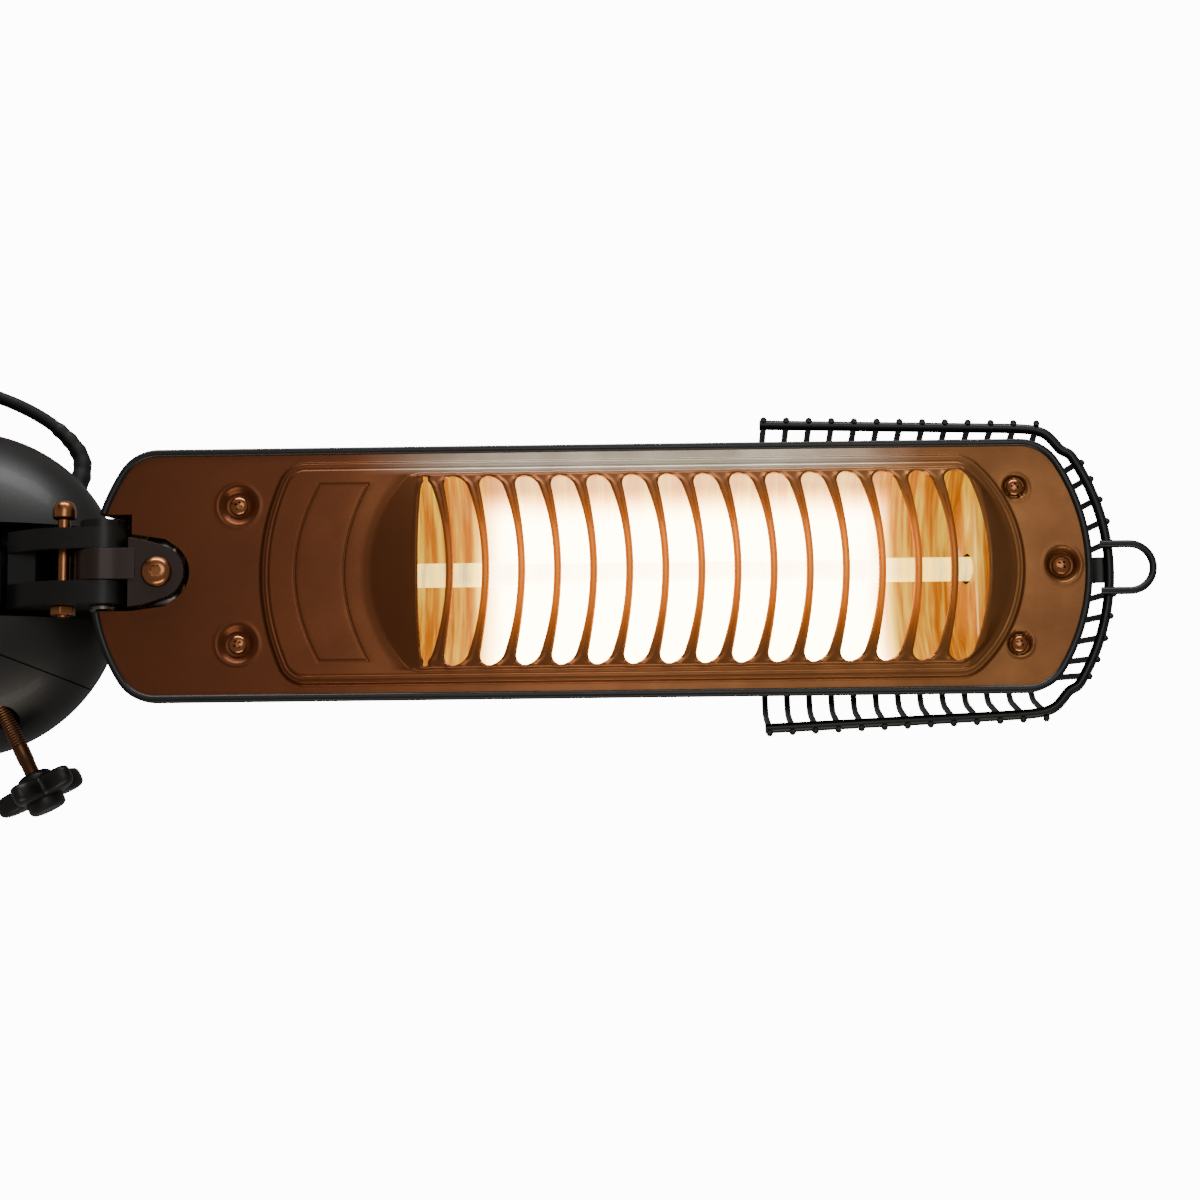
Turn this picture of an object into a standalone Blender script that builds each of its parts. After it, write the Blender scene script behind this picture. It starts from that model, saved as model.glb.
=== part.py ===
"""Infrared heater head on a clamping pole hub.

Row frame: origin on the pole axis at the height of the hub's widest ring, +Z up, +X along
the arm, heater face towards -Z. All dimensions below are in millimetres.
"""

import math

import bmesh
import bpy
from mathutils import Matrix, Vector

MM = 0.001
GAP = 0.3

# Head outline: left tip, right tip, half width, end radii, corner radii.
HEAD = (73.8, 524.7, 57.5, 90.7, 90.0, 20.0, 21.0)
FACE_Z = -55.2
TRAY_Z = -58.0
CREST_RISE = 8.5
CASING_BACK_Z = -13.0
SHEET = 0.9

# Step tray and raised grille field in the front panel.
TRAY = (151.0, 494.5, 50.8, 108.0, 64.0, 13.0, 16.0)
FIELD = (200.0, 489.0, 45.0, 63.0, 56.0, 8.0, 8.0)
FIELD_LEFT = 222.0
FIELD_RIGHT = 479.0
SLOT_HALF = 42.7
SLOT_BULGE = 7.0
BAR_FIRST = 237.2
BAR_PITCH = 16.03
BAR_HALF = 1.7
SLOTS = 16

# Screw places on the panel: x, y, dimple radius, dimple depth, head radius.
PANEL_SCREWS = (
    ("panel_screw_a", 141.0, -31.5, 9.4, 2.6, 4.2),
    ("panel_screw_b", 141.0, 31.5, 9.4, 2.6, 4.2),
    ("panel_screw_c", 491.0, -35.5, 5.8, 2.2, 3.8),
    ("panel_screw_d", 491.0, 35.5, 5.8, 2.2, 3.8),
    ("guard_screw", 511.2, 0.0, 8.3, 4.0, 4.4),
)

# Hinge between hub and head.
PIVOT = (78.7, -5.2, -47.0)
KNUCKLE_R = 13.4
EAR_R = 12.3
PIN_R = 4.0
FRICTION_X = 60.5
TONGUE_SCREW_X = 105.0

# Hub.
HUB_R = 78.0
HUB_H = 45.0
SHELL = 2.6
BORE_R = 27.0
COLLAR_R = 32.0
COLLAR_HALF = 52.0
CLAMP_ANGLE = math.radians(64.0)
CLAMP_Z = -22.0
SEAM_ANGLE = math.radians(21.0)
SEAM_OFFSET = 20.0
SHELL_SCREW_R = 58.0
GLAND = (48.4, -47.6, 18.6)
GLAND_DIR = (0.275, -0.935, 0.22)

# Lamp.
LAMP_Z = -44.0
TUBE_R = 5.5

# Wire guard.
RAIL_R = 2.1
WIRE_R = 1.25
HOOPS = 13
HOOP_FIRST = 380.0
HOOP_PITCH = 10.37
GUARD_TOP_Z = 3.0
GUARD_END = (437.0, 98.0)

# Mains cord: hand-chosen route points of the free stretch, then the coil.
CORD_R = 3.1
CORD_ROUTE = (
    (50.27, -53.96, 20.1),
    (52.2, -60.5, 21.6),
    (52.1, -68.6, 22.2),
    (47.3, -77.0, 20.8),
    (37.6, -85.9, 17.2),
    (24.6, -93.0, 10.6),
    (8.0, -98.6, 0.4),
    (-6.0, -102.1, -16.2),
    (-11.0, -103.8, -37.0),
    (-8.3, -104.5, -56.0),
    (-0.37, -104.7, -72.62),
)
# The coil: its turns lie on a ring of places in the bundle, and the cord enters it at ENTRY_ANGLE.
COIL_CENTRE = (-24.0, -104.7, -117.8)
COIL_MEAN_R = 34.7
COIL_PLACES_R = 8.2
COIL_BUNDLE_R = 11.5
ENTRY_ANGLE = math.radians(30.0)
ENTRY_RUN = 27.0
TAIL = (6.2, 5.4, -44.0)

BLACK = (0.018, 0.017, 0.016)


def clear_scene():
    for obj in list(bpy.data.objects):
        bpy.data.objects.remove(obj)


def material(name, colour, roughness, metallic=0.0, glow=None):
    found = bpy.data.materials.get(name)
    if found:
        return found
    mat = bpy.data.materials.new(name)
    mat.use_nodes = True
    shader = mat.node_tree.nodes["Principled BSDF"]
    shader.inputs["Base Color"].default_value = (*colour, 1.0)
    shader.inputs["Roughness"].default_value = roughness
    shader.inputs["Metallic"].default_value = metallic
    if glow:
        shader.inputs["Emission Color"].default_value = (*glow, 1.0)
        shader.inputs["Emission Strength"].default_value = 6.0
    mat.diffuse_color = (*colour, 1.0)
    return mat


def own(name, colour, roughness, metallic=0.0, glow=None):
    return material("mat_" + name, colour, roughness, metallic, glow)


def flat(face):
    centre = face.calc_center_median()
    return all(abs((v.co - centre).dot(face.normal)) < 0.0000005 for v in face.verts)


def add(name, verts, faces, mat, origin=(0, 0, 0), smooth=True):
    """A mesh object from world coordinates in mm, with its origin at the given point."""
    mesh = bpy.data.meshes.new(name)
    base = Vector(origin)
    mesh.from_pydata([(Vector(v) - base) * MM for v in verts], [], faces)
    bm = bmesh.new()
    bm.from_mesh(mesh)
    bmesh.ops.remove_doubles(bm, verts=bm.verts, dist=0.00001)
    bmesh.ops.recalc_face_normals(bm, faces=bm.faces)
    uneven = [f for f in bm.faces if len(f.verts) == 4 and not flat(f)]
    bmesh.ops.triangulate(bm, faces=uneven)
    bm.to_mesh(mesh)
    bm.free()
    if smooth:
        mesh.shade_smooth()
        mesh.set_sharp_from_angle(angle=math.radians(32))
    obj = bpy.data.objects.new(name, mesh)
    obj.location = base * MM
    bpy.context.scene.collection.objects.link(obj)
    if mat:
        mesh.materials.append(mat)
    return obj


def frame_along(direction, side=(0.0, 0.0, 1.0)):
    """A rotation that takes +Z to the direction."""
    z = Vector(direction).normalized()
    ref = Vector(side)
    if abs(z.dot(ref)) > 0.95:
        ref = Vector((1.0, 0.0, 0.0))
    x = (ref - z * ref.dot(z)).normalized()
    y = z.cross(x)
    return Matrix((x, y, z)).transposed()


def turned(name, profile, mat, base=(0, 0, 0), along=(0, 0, 1), sides=24, closed=False, origin=None):
    """A turned piece: (radius, height) pairs about the line from base along the direction."""
    turn = frame_along(along)
    centre = Vector(base)
    verts, rows = [], []
    for radius, height in profile:
        count = 1 if radius < 1e-6 else sides
        row = []
        for k in range(count):
            angle = 2 * math.pi * k / sides
            local = Vector((radius * math.cos(angle), radius * math.sin(angle), height))
            row.append(len(verts))
            verts.append(centre + turn @ local)
        rows.append(row)
    pairs = list(zip(rows, rows[1:]))
    if closed:
        pairs.append((rows[-1], rows[0]))
    faces = []
    for low, high in pairs:
        faces += band(low, high)
    return add(name, verts, faces, mat, origin if origin is not None else base)


def band(low, high):
    """Faces between two rings of vertex numbers, either of which may be one point."""
    n = max(len(low), len(high))
    faces = []
    if n == 1:
        return faces
    for k in range(n):
        j = (k + 1) % n
        if len(low) == 1:
            faces.append((low[0], high[j], high[k]))
        elif len(high) == 1:
            faces.append((low[k], low[j], high[0]))
        else:
            faces.append((low[k], low[j], high[j], high[k]))
    return faces


def disc(radius, low, high):
    return [(0.0, low), (radius, low), (radius, high), (0.0, high)]


def prism(name, outline, low, high, mat, along="z", origin=None, smooth=False):
    """An outline pushed between two heights along X, Y or Z."""
    place = {
        "z": lambda a, b, h: (a, b, h),
        "y": lambda a, b, h: (a, h, b),
        "x": lambda a, b, h: (h, a, b),
    }[along]
    n = len(outline)
    verts = [place(a, b, low) for a, b in outline] + [place(a, b, high) for a, b in outline]
    faces = [tuple(range(n)), tuple(range(2 * n - 1, n - 1, -1))]
    faces += [(k, (k + 1) % n, (k + 1) % n + n, k + n) for k in range(n)]
    return add(name, verts, faces, mat, origin or (0, 0, 0), smooth)


def box(name, low, high, mat, origin=None):
    outline = [(low[0], low[1]), (high[0], low[1]), (high[0], high[1]), (low[0], high[1])]
    return prism(name, outline, low[2], high[2], mat, origin=origin)


def sweep(points, radius, sides, close=False):
    """Vertices and faces of a tube along points, with flat ends."""
    pts = [Vector(p) for p in points]
    n = len(pts)
    tangents = []
    for i in range(n):
        before = pts[i - 1] if (close or i) else pts[0]
        after = pts[(i + 1) % n] if (close or i < n - 1) else pts[-1]
        tangents.append((after - before).normalized())
    side = tangents[0].orthogonal().normalized()
    verts, rows = [], []
    for p, t in zip(pts, tangents):
        side = (side - t * side.dot(t)).normalized()
        up = t.cross(side)
        row = []
        for k in range(sides):
            angle = 2 * math.pi * (k + 0.5) / sides
            row.append(len(verts))
            verts.append(p + side * (radius * math.cos(angle)) + up * (radius * math.sin(angle)))
        rows.append(row)
    faces = []
    for low, high in zip(rows, rows[1:]):
        faces += band(low, high)
    if close:
        faces += band(rows[-1], rows[0])
    else:
        faces += [tuple(reversed(rows[0])), tuple(rows[-1])]
    return verts, faces


def rod(name, points, radius, sides, mat, origin=None, close=False):
    verts, faces = sweep(points, radius, sides, close)
    return add(name, verts, faces, mat, origin or (0, 0, 0))


def merged(name, pieces):
    """Several vertex-and-face lists as one helper mesh."""
    verts, faces = [], []
    for some, their in pieces:
        start = len(verts)
        verts += some
        faces += [tuple(i + start for i in f) for f in their]
    return add(name, verts, faces, None)


def apply_boolean(obj, tool, operation="DIFFERENCE", self_cross=False):
    tool.hide_render = True
    tool.display_type = "WIRE"
    mod = obj.modifiers.new(operation.lower(), "BOOLEAN")
    mod.operation = operation
    mod.solver = "EXACT"
    mod.use_self = self_cross
    mod.object = tool
    return obj


def arc(cx, cy, radius, start, stop, count):
    """Points of an arc; angles in degrees."""
    return [
        (
            cx + radius * math.cos(math.radians(start + (stop - start) * k / (count - 1))),
            cy + radius * math.sin(math.radians(start + (stop - start) * k / (count - 1))),
        )
        for k in range(count)
    ]


def inset(shape, d):
    xl, xr, hw, rl, rr, cl, cr = shape
    return xl + d, xr - d, hw - d, rl - d, rr - d, cl - d, cr - d


def corner_centres(shape):
    xl, xr, hw, rl, rr, cl, cr = shape
    left = xl + rl - math.sqrt((rl - cl) ** 2 - (hw - cl) ** 2)
    right = xr - rr + math.sqrt((rr - cr) ** 2 - (hw - cr) ** 2)
    return left, right


def outline(shape, ends=7, corners=5):
    """A strip with arched ends and rounded corners, counter-clockwise."""
    xl, xr, hw, rl, rr, cl, cr = shape
    left, right = corner_centres(shape)
    turn_r = math.degrees(math.atan2(hw - cr, right - (xr - rr)))
    turn_l = math.degrees(math.atan2(hw - cl, (xl + rl) - left))
    pts = arc(xr - rr, 0, rr, -turn_r, turn_r, ends)[:-1]
    pts += arc(right, hw - cr, cr, turn_r, 90, corners)
    pts += arc(left, hw - cl, cl, 90, 180 - turn_l, corners)[:-1]
    pts += arc(xl + rl, 0, rl, 180 - turn_l, 180 + turn_l, ends)[:-1]
    pts += arc(left, -(hw - cl), cl, 180 + turn_l, 270, corners)
    pts += arc(right, -(hw - cr), cr, 270, 360 - turn_r, corners)[:-1]
    return pts


def end_x(shape, y, right=False):
    """Where the outline's left or right end lies at height y."""
    xl, xr, hw, rl, rr, cl, cr = shape
    y = min(abs(y), hw)
    r, c = (rr, cr) if right else (rl, cl)
    centre = corner_centres(shape)[1 if right else 0]
    limit = r * (hw - c) / (r - c)
    if y <= limit:
        bow = r - math.sqrt(r * r - y * y)
        return xr - bow if right else xl + bow
    reach = math.sqrt(max(c * c - (y - (hw - c)) ** 2, 0.0))
    return centre + reach if right else centre - reach


def smooth_route(points, spacing):
    """Evenly spaced points on a Catmull-Rom curve through the route."""
    pts = [Vector(p) for p in points]
    pts = [pts[0] * 2 - pts[1]] + pts + [pts[-1] * 2 - pts[-2]]
    fine = []
    for a, b, c, d in zip(pts, pts[1:], pts[2:], pts[3:]):
        for k in range(24):
            t = k / 24
            fine.append(
                0.5 * ((2 * b) + (c - a) * t + (2 * a - 5 * b + 4 * c - d) * t * t
                       + (3 * b - a - 3 * c + d) * t ** 3)
            )
    fine.append(pts[-2])
    total = sum((q - p).length for p, q in zip(fine, fine[1:]))
    count = max(2, round(total / spacing))
    out, walked, target = [fine[0]], 0.0, total / count
    for p, q in zip(fine, fine[1:]):
        step = (q - p).length
        while step > 0 and walked + step >= target * len(out) and len(out) < count:
            out.append(p.lerp(q, (target * len(out) - walked) / step))
        walked += step
    out.append(fine[-1])
    return out


# ---------------------------------------------------------------- head


def casing():
    levels = (
        (FACE_Z - 1.2, 0.0),
        (FACE_Z + 5.0, 0.0),
        (CASING_BACK_Z - 5.0, 12.5),
        (CASING_BACK_Z - 1.0, 15.0),
        (CASING_BACK_Z, 18.0),
    )
    inner = (
        (CASING_BACK_Z - 1.3, 18.6),
        (CASING_BACK_Z - 2.0, 16.6),
        (CASING_BACK_Z - 5.6, 14.0),
        (FACE_Z + 4.6, 1.4),
        (FACE_Z + 3.6, 1.4),
        (FACE_Z - 1.2, 1.4),
    )
    verts, rows = [], []
    for z, d in levels + inner:
        row = []
        for x, y in outline(inset(HEAD, d)):
            row.append(len(verts))
            verts.append((x, y, z))
        rows.append(row)
    faces = []
    back = len(levels) - 1
    for k, (low, high) in enumerate(zip(rows, rows[1:])):
        if k != back:
            faces += band(low, high)
    faces += band(rows[-1], rows[0])
    faces += [tuple(rows[back]), tuple(reversed(rows[back + 1]))]
    mat = own("casing", (0.012, 0.011, 0.010), 0.25, 0.2)
    obj = add("head_casing", verts, faces, mat)
    notch = box("cut_casing_notch", (60, -28.4, -70), (97.5, 16.4, -33.0), None)
    return apply_boolean(obj, notch)


def panel_height(column, y):
    a = abs(y)
    if a > 49.9 or column in (0, 1, 8, 9):
        return FACE_Z
    if a > 44.0 or column in (2, 3, 6, 7):
        return TRAY_Z
    return TRAY_Z - 1.6 - (CREST_RISE - 1.6) * (1 - (a / 43.2) ** 2)


def panel_columns(y):
    edge = inset(HEAD, 2.6)
    top = inset(TRAY, 1.4)
    a = abs(y)
    xs = [0.0] * 10
    xs[0] = end_x(edge, y)
    xs[1] = end_x(TRAY, y)
    xs[2] = max(end_x(top, y), xs[1] + 1.0)
    xs[3] = max(end_x(FIELD, y), xs[2] + 1.0)
    xs[4] = max(FIELD_LEFT, xs[3] + 1.0)
    xs[9] = end_x(edge, y, True)
    xs[8] = min(end_x(TRAY, y, True), xs[9] - 1.0)
    xs[7] = min(end_x(top, y, True), xs[8] - 1.0)
    xs[6] = min(end_x(FIELD, y, True), xs[7] - 1.0)
    xs[5] = min(FIELD_RIGHT - 7.0 * (min(a, 43.0) / 43.0) ** 2, xs[6] - 1.0)
    return xs


def slot_edge(y, index, right):
    """Where a side of a slot lies at height y."""
    bow = SLOT_BULGE * (y / SLOT_HALF) ** 2
    if index == 0 and not right:
        return FIELD_LEFT + 1.0
    bar = BAR_FIRST + BAR_PITCH * (index if right else index - 1)
    if index == SLOTS - 1 and right:
        bar = 476.6 + BAR_HALF
    return bar - BAR_HALF - bow if right else bar + BAR_HALF - bow


def slot_outline(index):
    wide = slot_edge(SLOT_HALF, index, True) - slot_edge(SLOT_HALF, index, False)
    round_r = min(5.0, wide * 0.45)
    heights = [-SLOT_HALF]
    heights += [-SLOT_HALF + round_r * (1 - math.cos(math.radians(a))) for a in (45, 90)]
    heights += [-22.0, 0.0, 22.0]
    heights += [-h for h in reversed(heights[:3])]
    right, left = [], []
    for y in heights:
        over = max(abs(y) - (SLOT_HALF - round_r), 0.0)
        pull = round_r - math.sqrt(max(round_r ** 2 - over ** 2, 0.0))
        right.append((slot_edge(y, index, True) - pull, y))
        left.append((slot_edge(y, index, False) + pull, y))
    return right + list(reversed(left))


def prism_data(points, low, high):
    n = len(points)
    verts = [Vector((x, y, low)) for x, y in points] + [Vector((x, y, high)) for x, y in points]
    faces = [tuple(range(n)), tuple(range(2 * n - 1, n - 1, -1))]
    faces += [(k, (k + 1) % n, (k + 1) % n + n, k + n) for k in range(n)]
    return verts, faces


def front_panel():
    half = (0.0, 14.0, 27.0, 37.0, 43.2, 45.0, 49.4, 50.8, 53.3, 54.9)
    heights = [-h for h in reversed(half[1:])] + list(half)
    verts, grid = [], []
    for lift in (0.0, SHEET):
        layer = []
        for y in heights:
            row = []
            for c, x in enumerate(panel_columns(y)):
                row.append(len(verts))
                verts.append((x, y, panel_height(c, y) + lift))
            layer.append(row)
        grid.append(layer)
    front, back = grid
    faces = []
    for layer in grid:
        for low, high in zip(layer, layer[1:]):
            faces += [(low[k], low[k + 1], high[k + 1], high[k]) for k in range(9)]
    rim = front[0] + [r[-1] for r in front[1:]] + front[-1][-2::-1] + [r[0] for r in front[-2:0:-1]]
    under = back[0] + [r[-1] for r in back[1:]] + back[-1][-2::-1] + [r[0] for r in back[-2:0:-1]]
    faces += band(rim, under)
    mat = own("panel", (0.55, 0.52, 0.47), 0.32, 0.9)
    obj = add("front_panel", verts, faces, mat)
    slots = merged("cut_slots", [prism_data(slot_outline(i), -75, -50) for i in range(SLOTS)])
    apply_boolean(obj, slots)
    holes = [
        prism_data(arc(x, y, r - 0.5, 4, 346, 20), -60, -50)
        for _, x, y, r, _, _ in PANEL_SCREWS
    ]
    notch = [(60, -28.0), (93, -28.0), (93, -19.0), (108, -16.6)]
    notch += arc(TONGUE_SCREW_X - 0.5, -1.3, 14.6, -60, 60, 7)
    notch += [(108, 14.0), (93, 16.0), (60, 16.0)]
    apply_boolean(obj, merged("cut_panel_holes", holes + [prism_data(notch, -60, -50)]))
    cups = [dimple(x, y, r, d, head) for _, x, y, r, d, head in PANEL_SCREWS]
    return apply_boolean(obj, merged("add_dimples", cups), "UNION")


def dimple(x, y, radius, depth, head):
    """A pressed cup with a screw hole in its floor."""
    z = FACE_Z + 0.05
    t = SHEET - 0.1
    floor = head + 0.9
    profile = [
        (radius + 0.7, z),
        (radius - 0.6, z + 0.1),
        (floor, z + depth),
        (2.6, z + depth),
        (2.6, z + depth + t),
        (floor + 0.3, z + depth + t),
        (radius, z + t),
        (radius + 0.7, z + t),
    ]
    verts, rows = [], []
    for r, h in profile:
        rows.append([len(verts) + k for k in range(20)])
        verts += [Vector((a, b, h)) for a, b in arc(x, y, r, 9, 351, 20)]
    faces = []
    for low, high in zip(rows, rows[1:] + rows[:1]):
        faces += band(low, high)
    return verts, faces


def panel_screws():
    copper = (0.55, 0.42, 0.30)
    for name, x, y, radius, depth, head in PANEL_SCREWS:
        floor = FACE_Z + depth
        top = floor - GAP
        shank_top = -31.0 if name == "guard_screw" else -38.0
        profile = [
            (0.0, top - 0.9),
            (1.1, top - 0.9),
            (1.5, top - 2.1),
            (head * 0.62, top - 2.1),
            (head * 0.93, top - 1.3),
            (head, top),
            (2.0, top),
            (2.0, shank_top),
            (0.0, shank_top),
        ]
        turned(name, profile, own(name, copper, 0.3, 1.0), (x, y, 0), sides=14)
        if name != "guard_screw":
            post = [
                (2.4, -50.9 + 1.3),
                (3.6, -50.9 + 1.3),
                (3.6, CASING_BACK_Z - 1.3 - GAP),
                (0.0, CASING_BACK_Z - 1.3 - GAP),
                (0.0, -34.0),
                (2.4, -34.0),
            ]
            post_name = name.replace("screw", "post")
            steel = own(post_name, (0.5, 0.5, 0.5), 0.45, 0.9)
            turned(post_name, post, steel, (x, y, 0), sides=6, closed=True)


def reflector():
    """A folded trough of bright sheet with its flanges just behind the panel."""
    profile = ((-47.0, -53.6), (-44.0, -53.6), (-38.0, -43.0), (-27.0, -32.6), (-14.0, -26.6),
               (0.0, -25.0), (14.0, -26.6), (27.0, -32.6), (38.0, -43.0), (44.0, -53.6), (47.0, -53.6))
    n = len(profile)
    upper = []
    for k, (y, z) in enumerate(profile):
        a, b = profile[max(k - 1, 0)], profile[min(k + 1, n - 1)]
        slope = Vector((b[0] - a[0], b[1] - a[1])).normalized()
        upper.append((y - slope.y * 0.6, z + slope.x * 0.6))
    section = list(profile) + list(reversed(upper))
    obj = prism("reflector", section, 214.0, 462.0, own("reflector", (0.85, 0.82, 0.75), 0.12, 1.0), "x")
    obj.data.shade_smooth()
    obj.data.set_sharp_from_angle(angle=math.radians(40))
    for name, low_x, high_x in (("reflector_end_left", 212.8, 199.0), ("reflector_end_right", 463.2, 472.5)):
        reflector_end(name, low_x, high_x, profile)


def reflector_end(name, deep_x, face_x, profile):
    """A slanting end plate with a hole that the lamp passes through."""
    lean = (face_x - deep_x) / (-53.6 + 25.0)
    away = 1 if face_x > deep_x else -1
    def at(z):
        return deep_x + (z + 25.0) * lean
    ring = [(y, z) for y, z in profile[1:-1]]
    hole = arc(0.0, LAMP_Z, TUBE_R + 1.6, 0, 360 * 15 / 16, 16)
    verts = [(at(z), y, z) for y, z in ring]
    verts += [(at(z) + away * 0.8, y, z) for y, z in ring]
    n = len(ring)
    faces = [tuple(range(n)), tuple(range(2 * n - 1, n - 1, -1))]
    faces += [(k, (k + 1) % n, (k + 1) % n + n, k + n) for k in range(n)]
    obj = add(name, verts, faces, own(name, (0.85, 0.80, 0.70), 0.2, 1.0), smooth=False)
    tool = prism("cut_" + name, hole, 190.0, 490.0, None, "x")
    apply_boolean(obj, tool)


def lamp():
    turned("quartz_tube", [(TUBE_R - 1.0, 0), (TUBE_R, 0), (TUBE_R, 284.0), (TUBE_R - 1.0, 284.0)],
           own("quartz_tube", (1.0, 0.93, 0.82), 0.05, 0.0, (1.0, 0.55, 0.2)),
           (196.0, 0, LAMP_Z), (1, 0, 0), 16, closed=True)
    hot = own("lamp_filament", (1.0, 0.6, 0.25), 0.4, 0.0, (1.0, 0.5, 0.12))
    turned("lamp_filament", disc(2.2, 0, 204.0), hot,
           (238.0, 0, LAMP_Z), (1, 0, 0), 10)
    for side, x in (("left", 195.7), ("right", 480.3)):
        away = -1 if side == "left" else 1
        cap = [(0.0, 0.0), (6.6, 0.0), (7.2, 0.8), (7.2, 9.0), (5.4, 10.0), (5.4, 14.0), (0.0, 14.0)]
        turned("ceramic_cap_" + side, cap, own("ceramic_cap_" + side, (0.8, 0.78, 0.72), 0.6),
               (x, 0, LAMP_Z), (away, 0, 0), 16)
        lamp_clip(side, x + away * 5.0)
    block = own("lamp_terminal_block", (0.75, 0.72, 0.65), 0.6)
    box("lamp_terminal_block", (124, -9, -26), (150, 9, -14.9), block)
    box("heat_shield", (214, -36, -19.4), (462, 36, -18.6), own("heat_shield", (0.7, 0.7, 0.7), 0.35, 1.0))


def lamp_clip(side, x):
    """A spring strip that hangs the ceramic cap from the casing's back."""
    low, high = LAMP_Z, CASING_BACK_Z - 1.3 - GAP
    outer = arc(0, low, 8.8, -60, 240, 15)
    inner = arc(0, low, 7.6, 240, -60, 15)
    ring = outer + inner
    steel = own("lamp_clip_" + side, (0.6, 0.6, 0.6), 0.35, 1.0)
    obj = prism("lamp_clip_" + side, ring, x - 3, x + 3, steel, "x")
    stem = box("add_clip_stem_" + side, (x - 2.9, -2.0, low + 8.0), (x + 2.9, 2.0, high), None)
    apply_boolean(obj, stem, "UNION")


# ---------------------------------------------------------------- guard


def rail_z(x):
    return -31.0 - (x - 380.0) * 7.0 / 122.0


def rail_path():
    cx, r = GUARD_END
    side = [(378.0, 70.3), (440.0, 67.9), (495.0, 65.8), (503.5, 64.9), (508.5, 63.0)]
    side += [(511.8, 59.6), (515.0, 55.2)]
    tip = [(cx + r * math.cos(math.radians(a)), r * math.sin(math.radians(a))) for a in (29, 23, 17, 11, 5)]
    half = side + tip
    plan = [(x, -y) for x, y in half] + [(x, y) for x, y in reversed(half)]
    return [(x, y, rail_z(x)) for x, y in plan]


def hoop_path(x):
    w = 70.3 - (x - 378.0) * (70.3 - 65.6) / 126.0
    z = rail_z(x)
    lean = math.tan(math.radians(15))
    def inward(h):
        return w - (h - z) * lean
    bend = GUARD_TOP_Z - 8.0
    edge = inward(bend)
    half = [
        (w + 2.5, z - 1.9),
        (w - 0.4, z + 1.2),
        (edge, bend),
        (edge - 3.6, bend + 5.8),
        (edge - 10.0, GUARD_TOP_Z),
    ]
    return [(x, -y, h) for y, h in half] + [(x, y, h) for y, h in reversed(half)]


def end_wire(y):
    """A wire that climbs from the end of the rail over the casing to the last hoop."""
    cx, r = GUARD_END
    x = cx + math.sqrt(r * r - y * y)
    z = rail_z(x)
    last = HOOP_FIRST + HOOP_PITCH * (HOOPS - 1)
    return [
        (x + 2.4, y * 1.012, z - 1.7),
        (x - 0.5, y, z + 1.2),
        (x - 8.2, y * 0.95, GUARD_TOP_Z - 8.0),
        (x - 12.0, y * 0.93, GUARD_TOP_Z - 2.2),
        (x - 17.5, y * 0.9, GUARD_TOP_Z + 0.35),
        (last - 1.5, y * 0.88 if abs(y) < 40 else y * 0.9, GUARD_TOP_Z + 0.35),
    ]


def wire_guard():
    black = own("wire_guard", BLACK, 0.4, 0.3)
    guard = rod("wire_guard", rail_path(), RAIL_R, 8, black)
    hoops = [sweep(hoop_path(HOOP_FIRST + HOOP_PITCH * i), WIRE_R, 5) for i in range(HOOPS)]
    apply_boolean(guard, merged("add_hoops", hoops), "UNION")
    ends = [sweep(end_wire(side * y), WIRE_R, 5) for side in (-1, 1) for y in (11.5, 21.5, 31.5, 41.0, 48.5)]
    last = HOOP_FIRST + HOOP_PITCH * (HOOPS - 1)
    spine = [(HOOP_FIRST - 2.2, 0, GUARD_TOP_Z - 0.5), ((HOOP_FIRST + last) / 2, 0, GUARD_TOP_Z - 0.5),
             (last + 2.2, 0, GUARD_TOP_Z - 0.5)]
    apply_boolean(guard, merged("add_end_wires", ends + [sweep(spine, WIRE_R, 5)]), "UNION")


def guard_fixings():
    tip = GUARD_END[0] + GUARD_END[1]
    z = rail_z(tip)
    black = own("guard_bracket", BLACK, 0.45, 0.3)
    hook = prism(
        "guard_bracket",
        [(tip - 8.6, z + 4.6), (tip - 5.0, z + 2.6), (tip + 2.0, z + 2.6), (tip + 2.6, z + 3.0),
         (tip + 2.6, z + 6.2), (tip - 4.0, z + 6.2), (tip - 8.6, z + 8.6)],
        -5.8, 5.8, black, "y",
    )
    hook.data.validate()
    ring_z = z - RAIL_R - 1.75 - GAP
    loop = [(tip - 4.6, -10.7), (tip + 8.4, -10.7)]
    loop += arc(tip + 8.4, 0, 10.7, -75, 75, 11)
    loop += [(tip + 8.4, 10.7), (tip - 4.6, 10.7)]
    rod("pull_ring", [(x, y, ring_z) for x, y in loop], 1.75, 10, own("pull_ring", BLACK, 0.4, 0.3))
    saddle = [(372.0, -14.0), (372.0, 14.0), (398.0, 14.0), (398.0, -14.0)]
    top = GUARD_TOP_Z - 0.5 - WIRE_R - GAP
    obj = prism("guard_saddle", saddle, CASING_BACK_Z + GAP, top, own("guard_saddle", BLACK, 0.45, 0.3))
    tool = box("cut_saddle", (370, -9.0, CASING_BACK_Z + 2.2), (400, 9.0, top - 2.0), None)
    apply_boolean(obj, tool)


# ---------------------------------------------------------------- hinge


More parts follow.
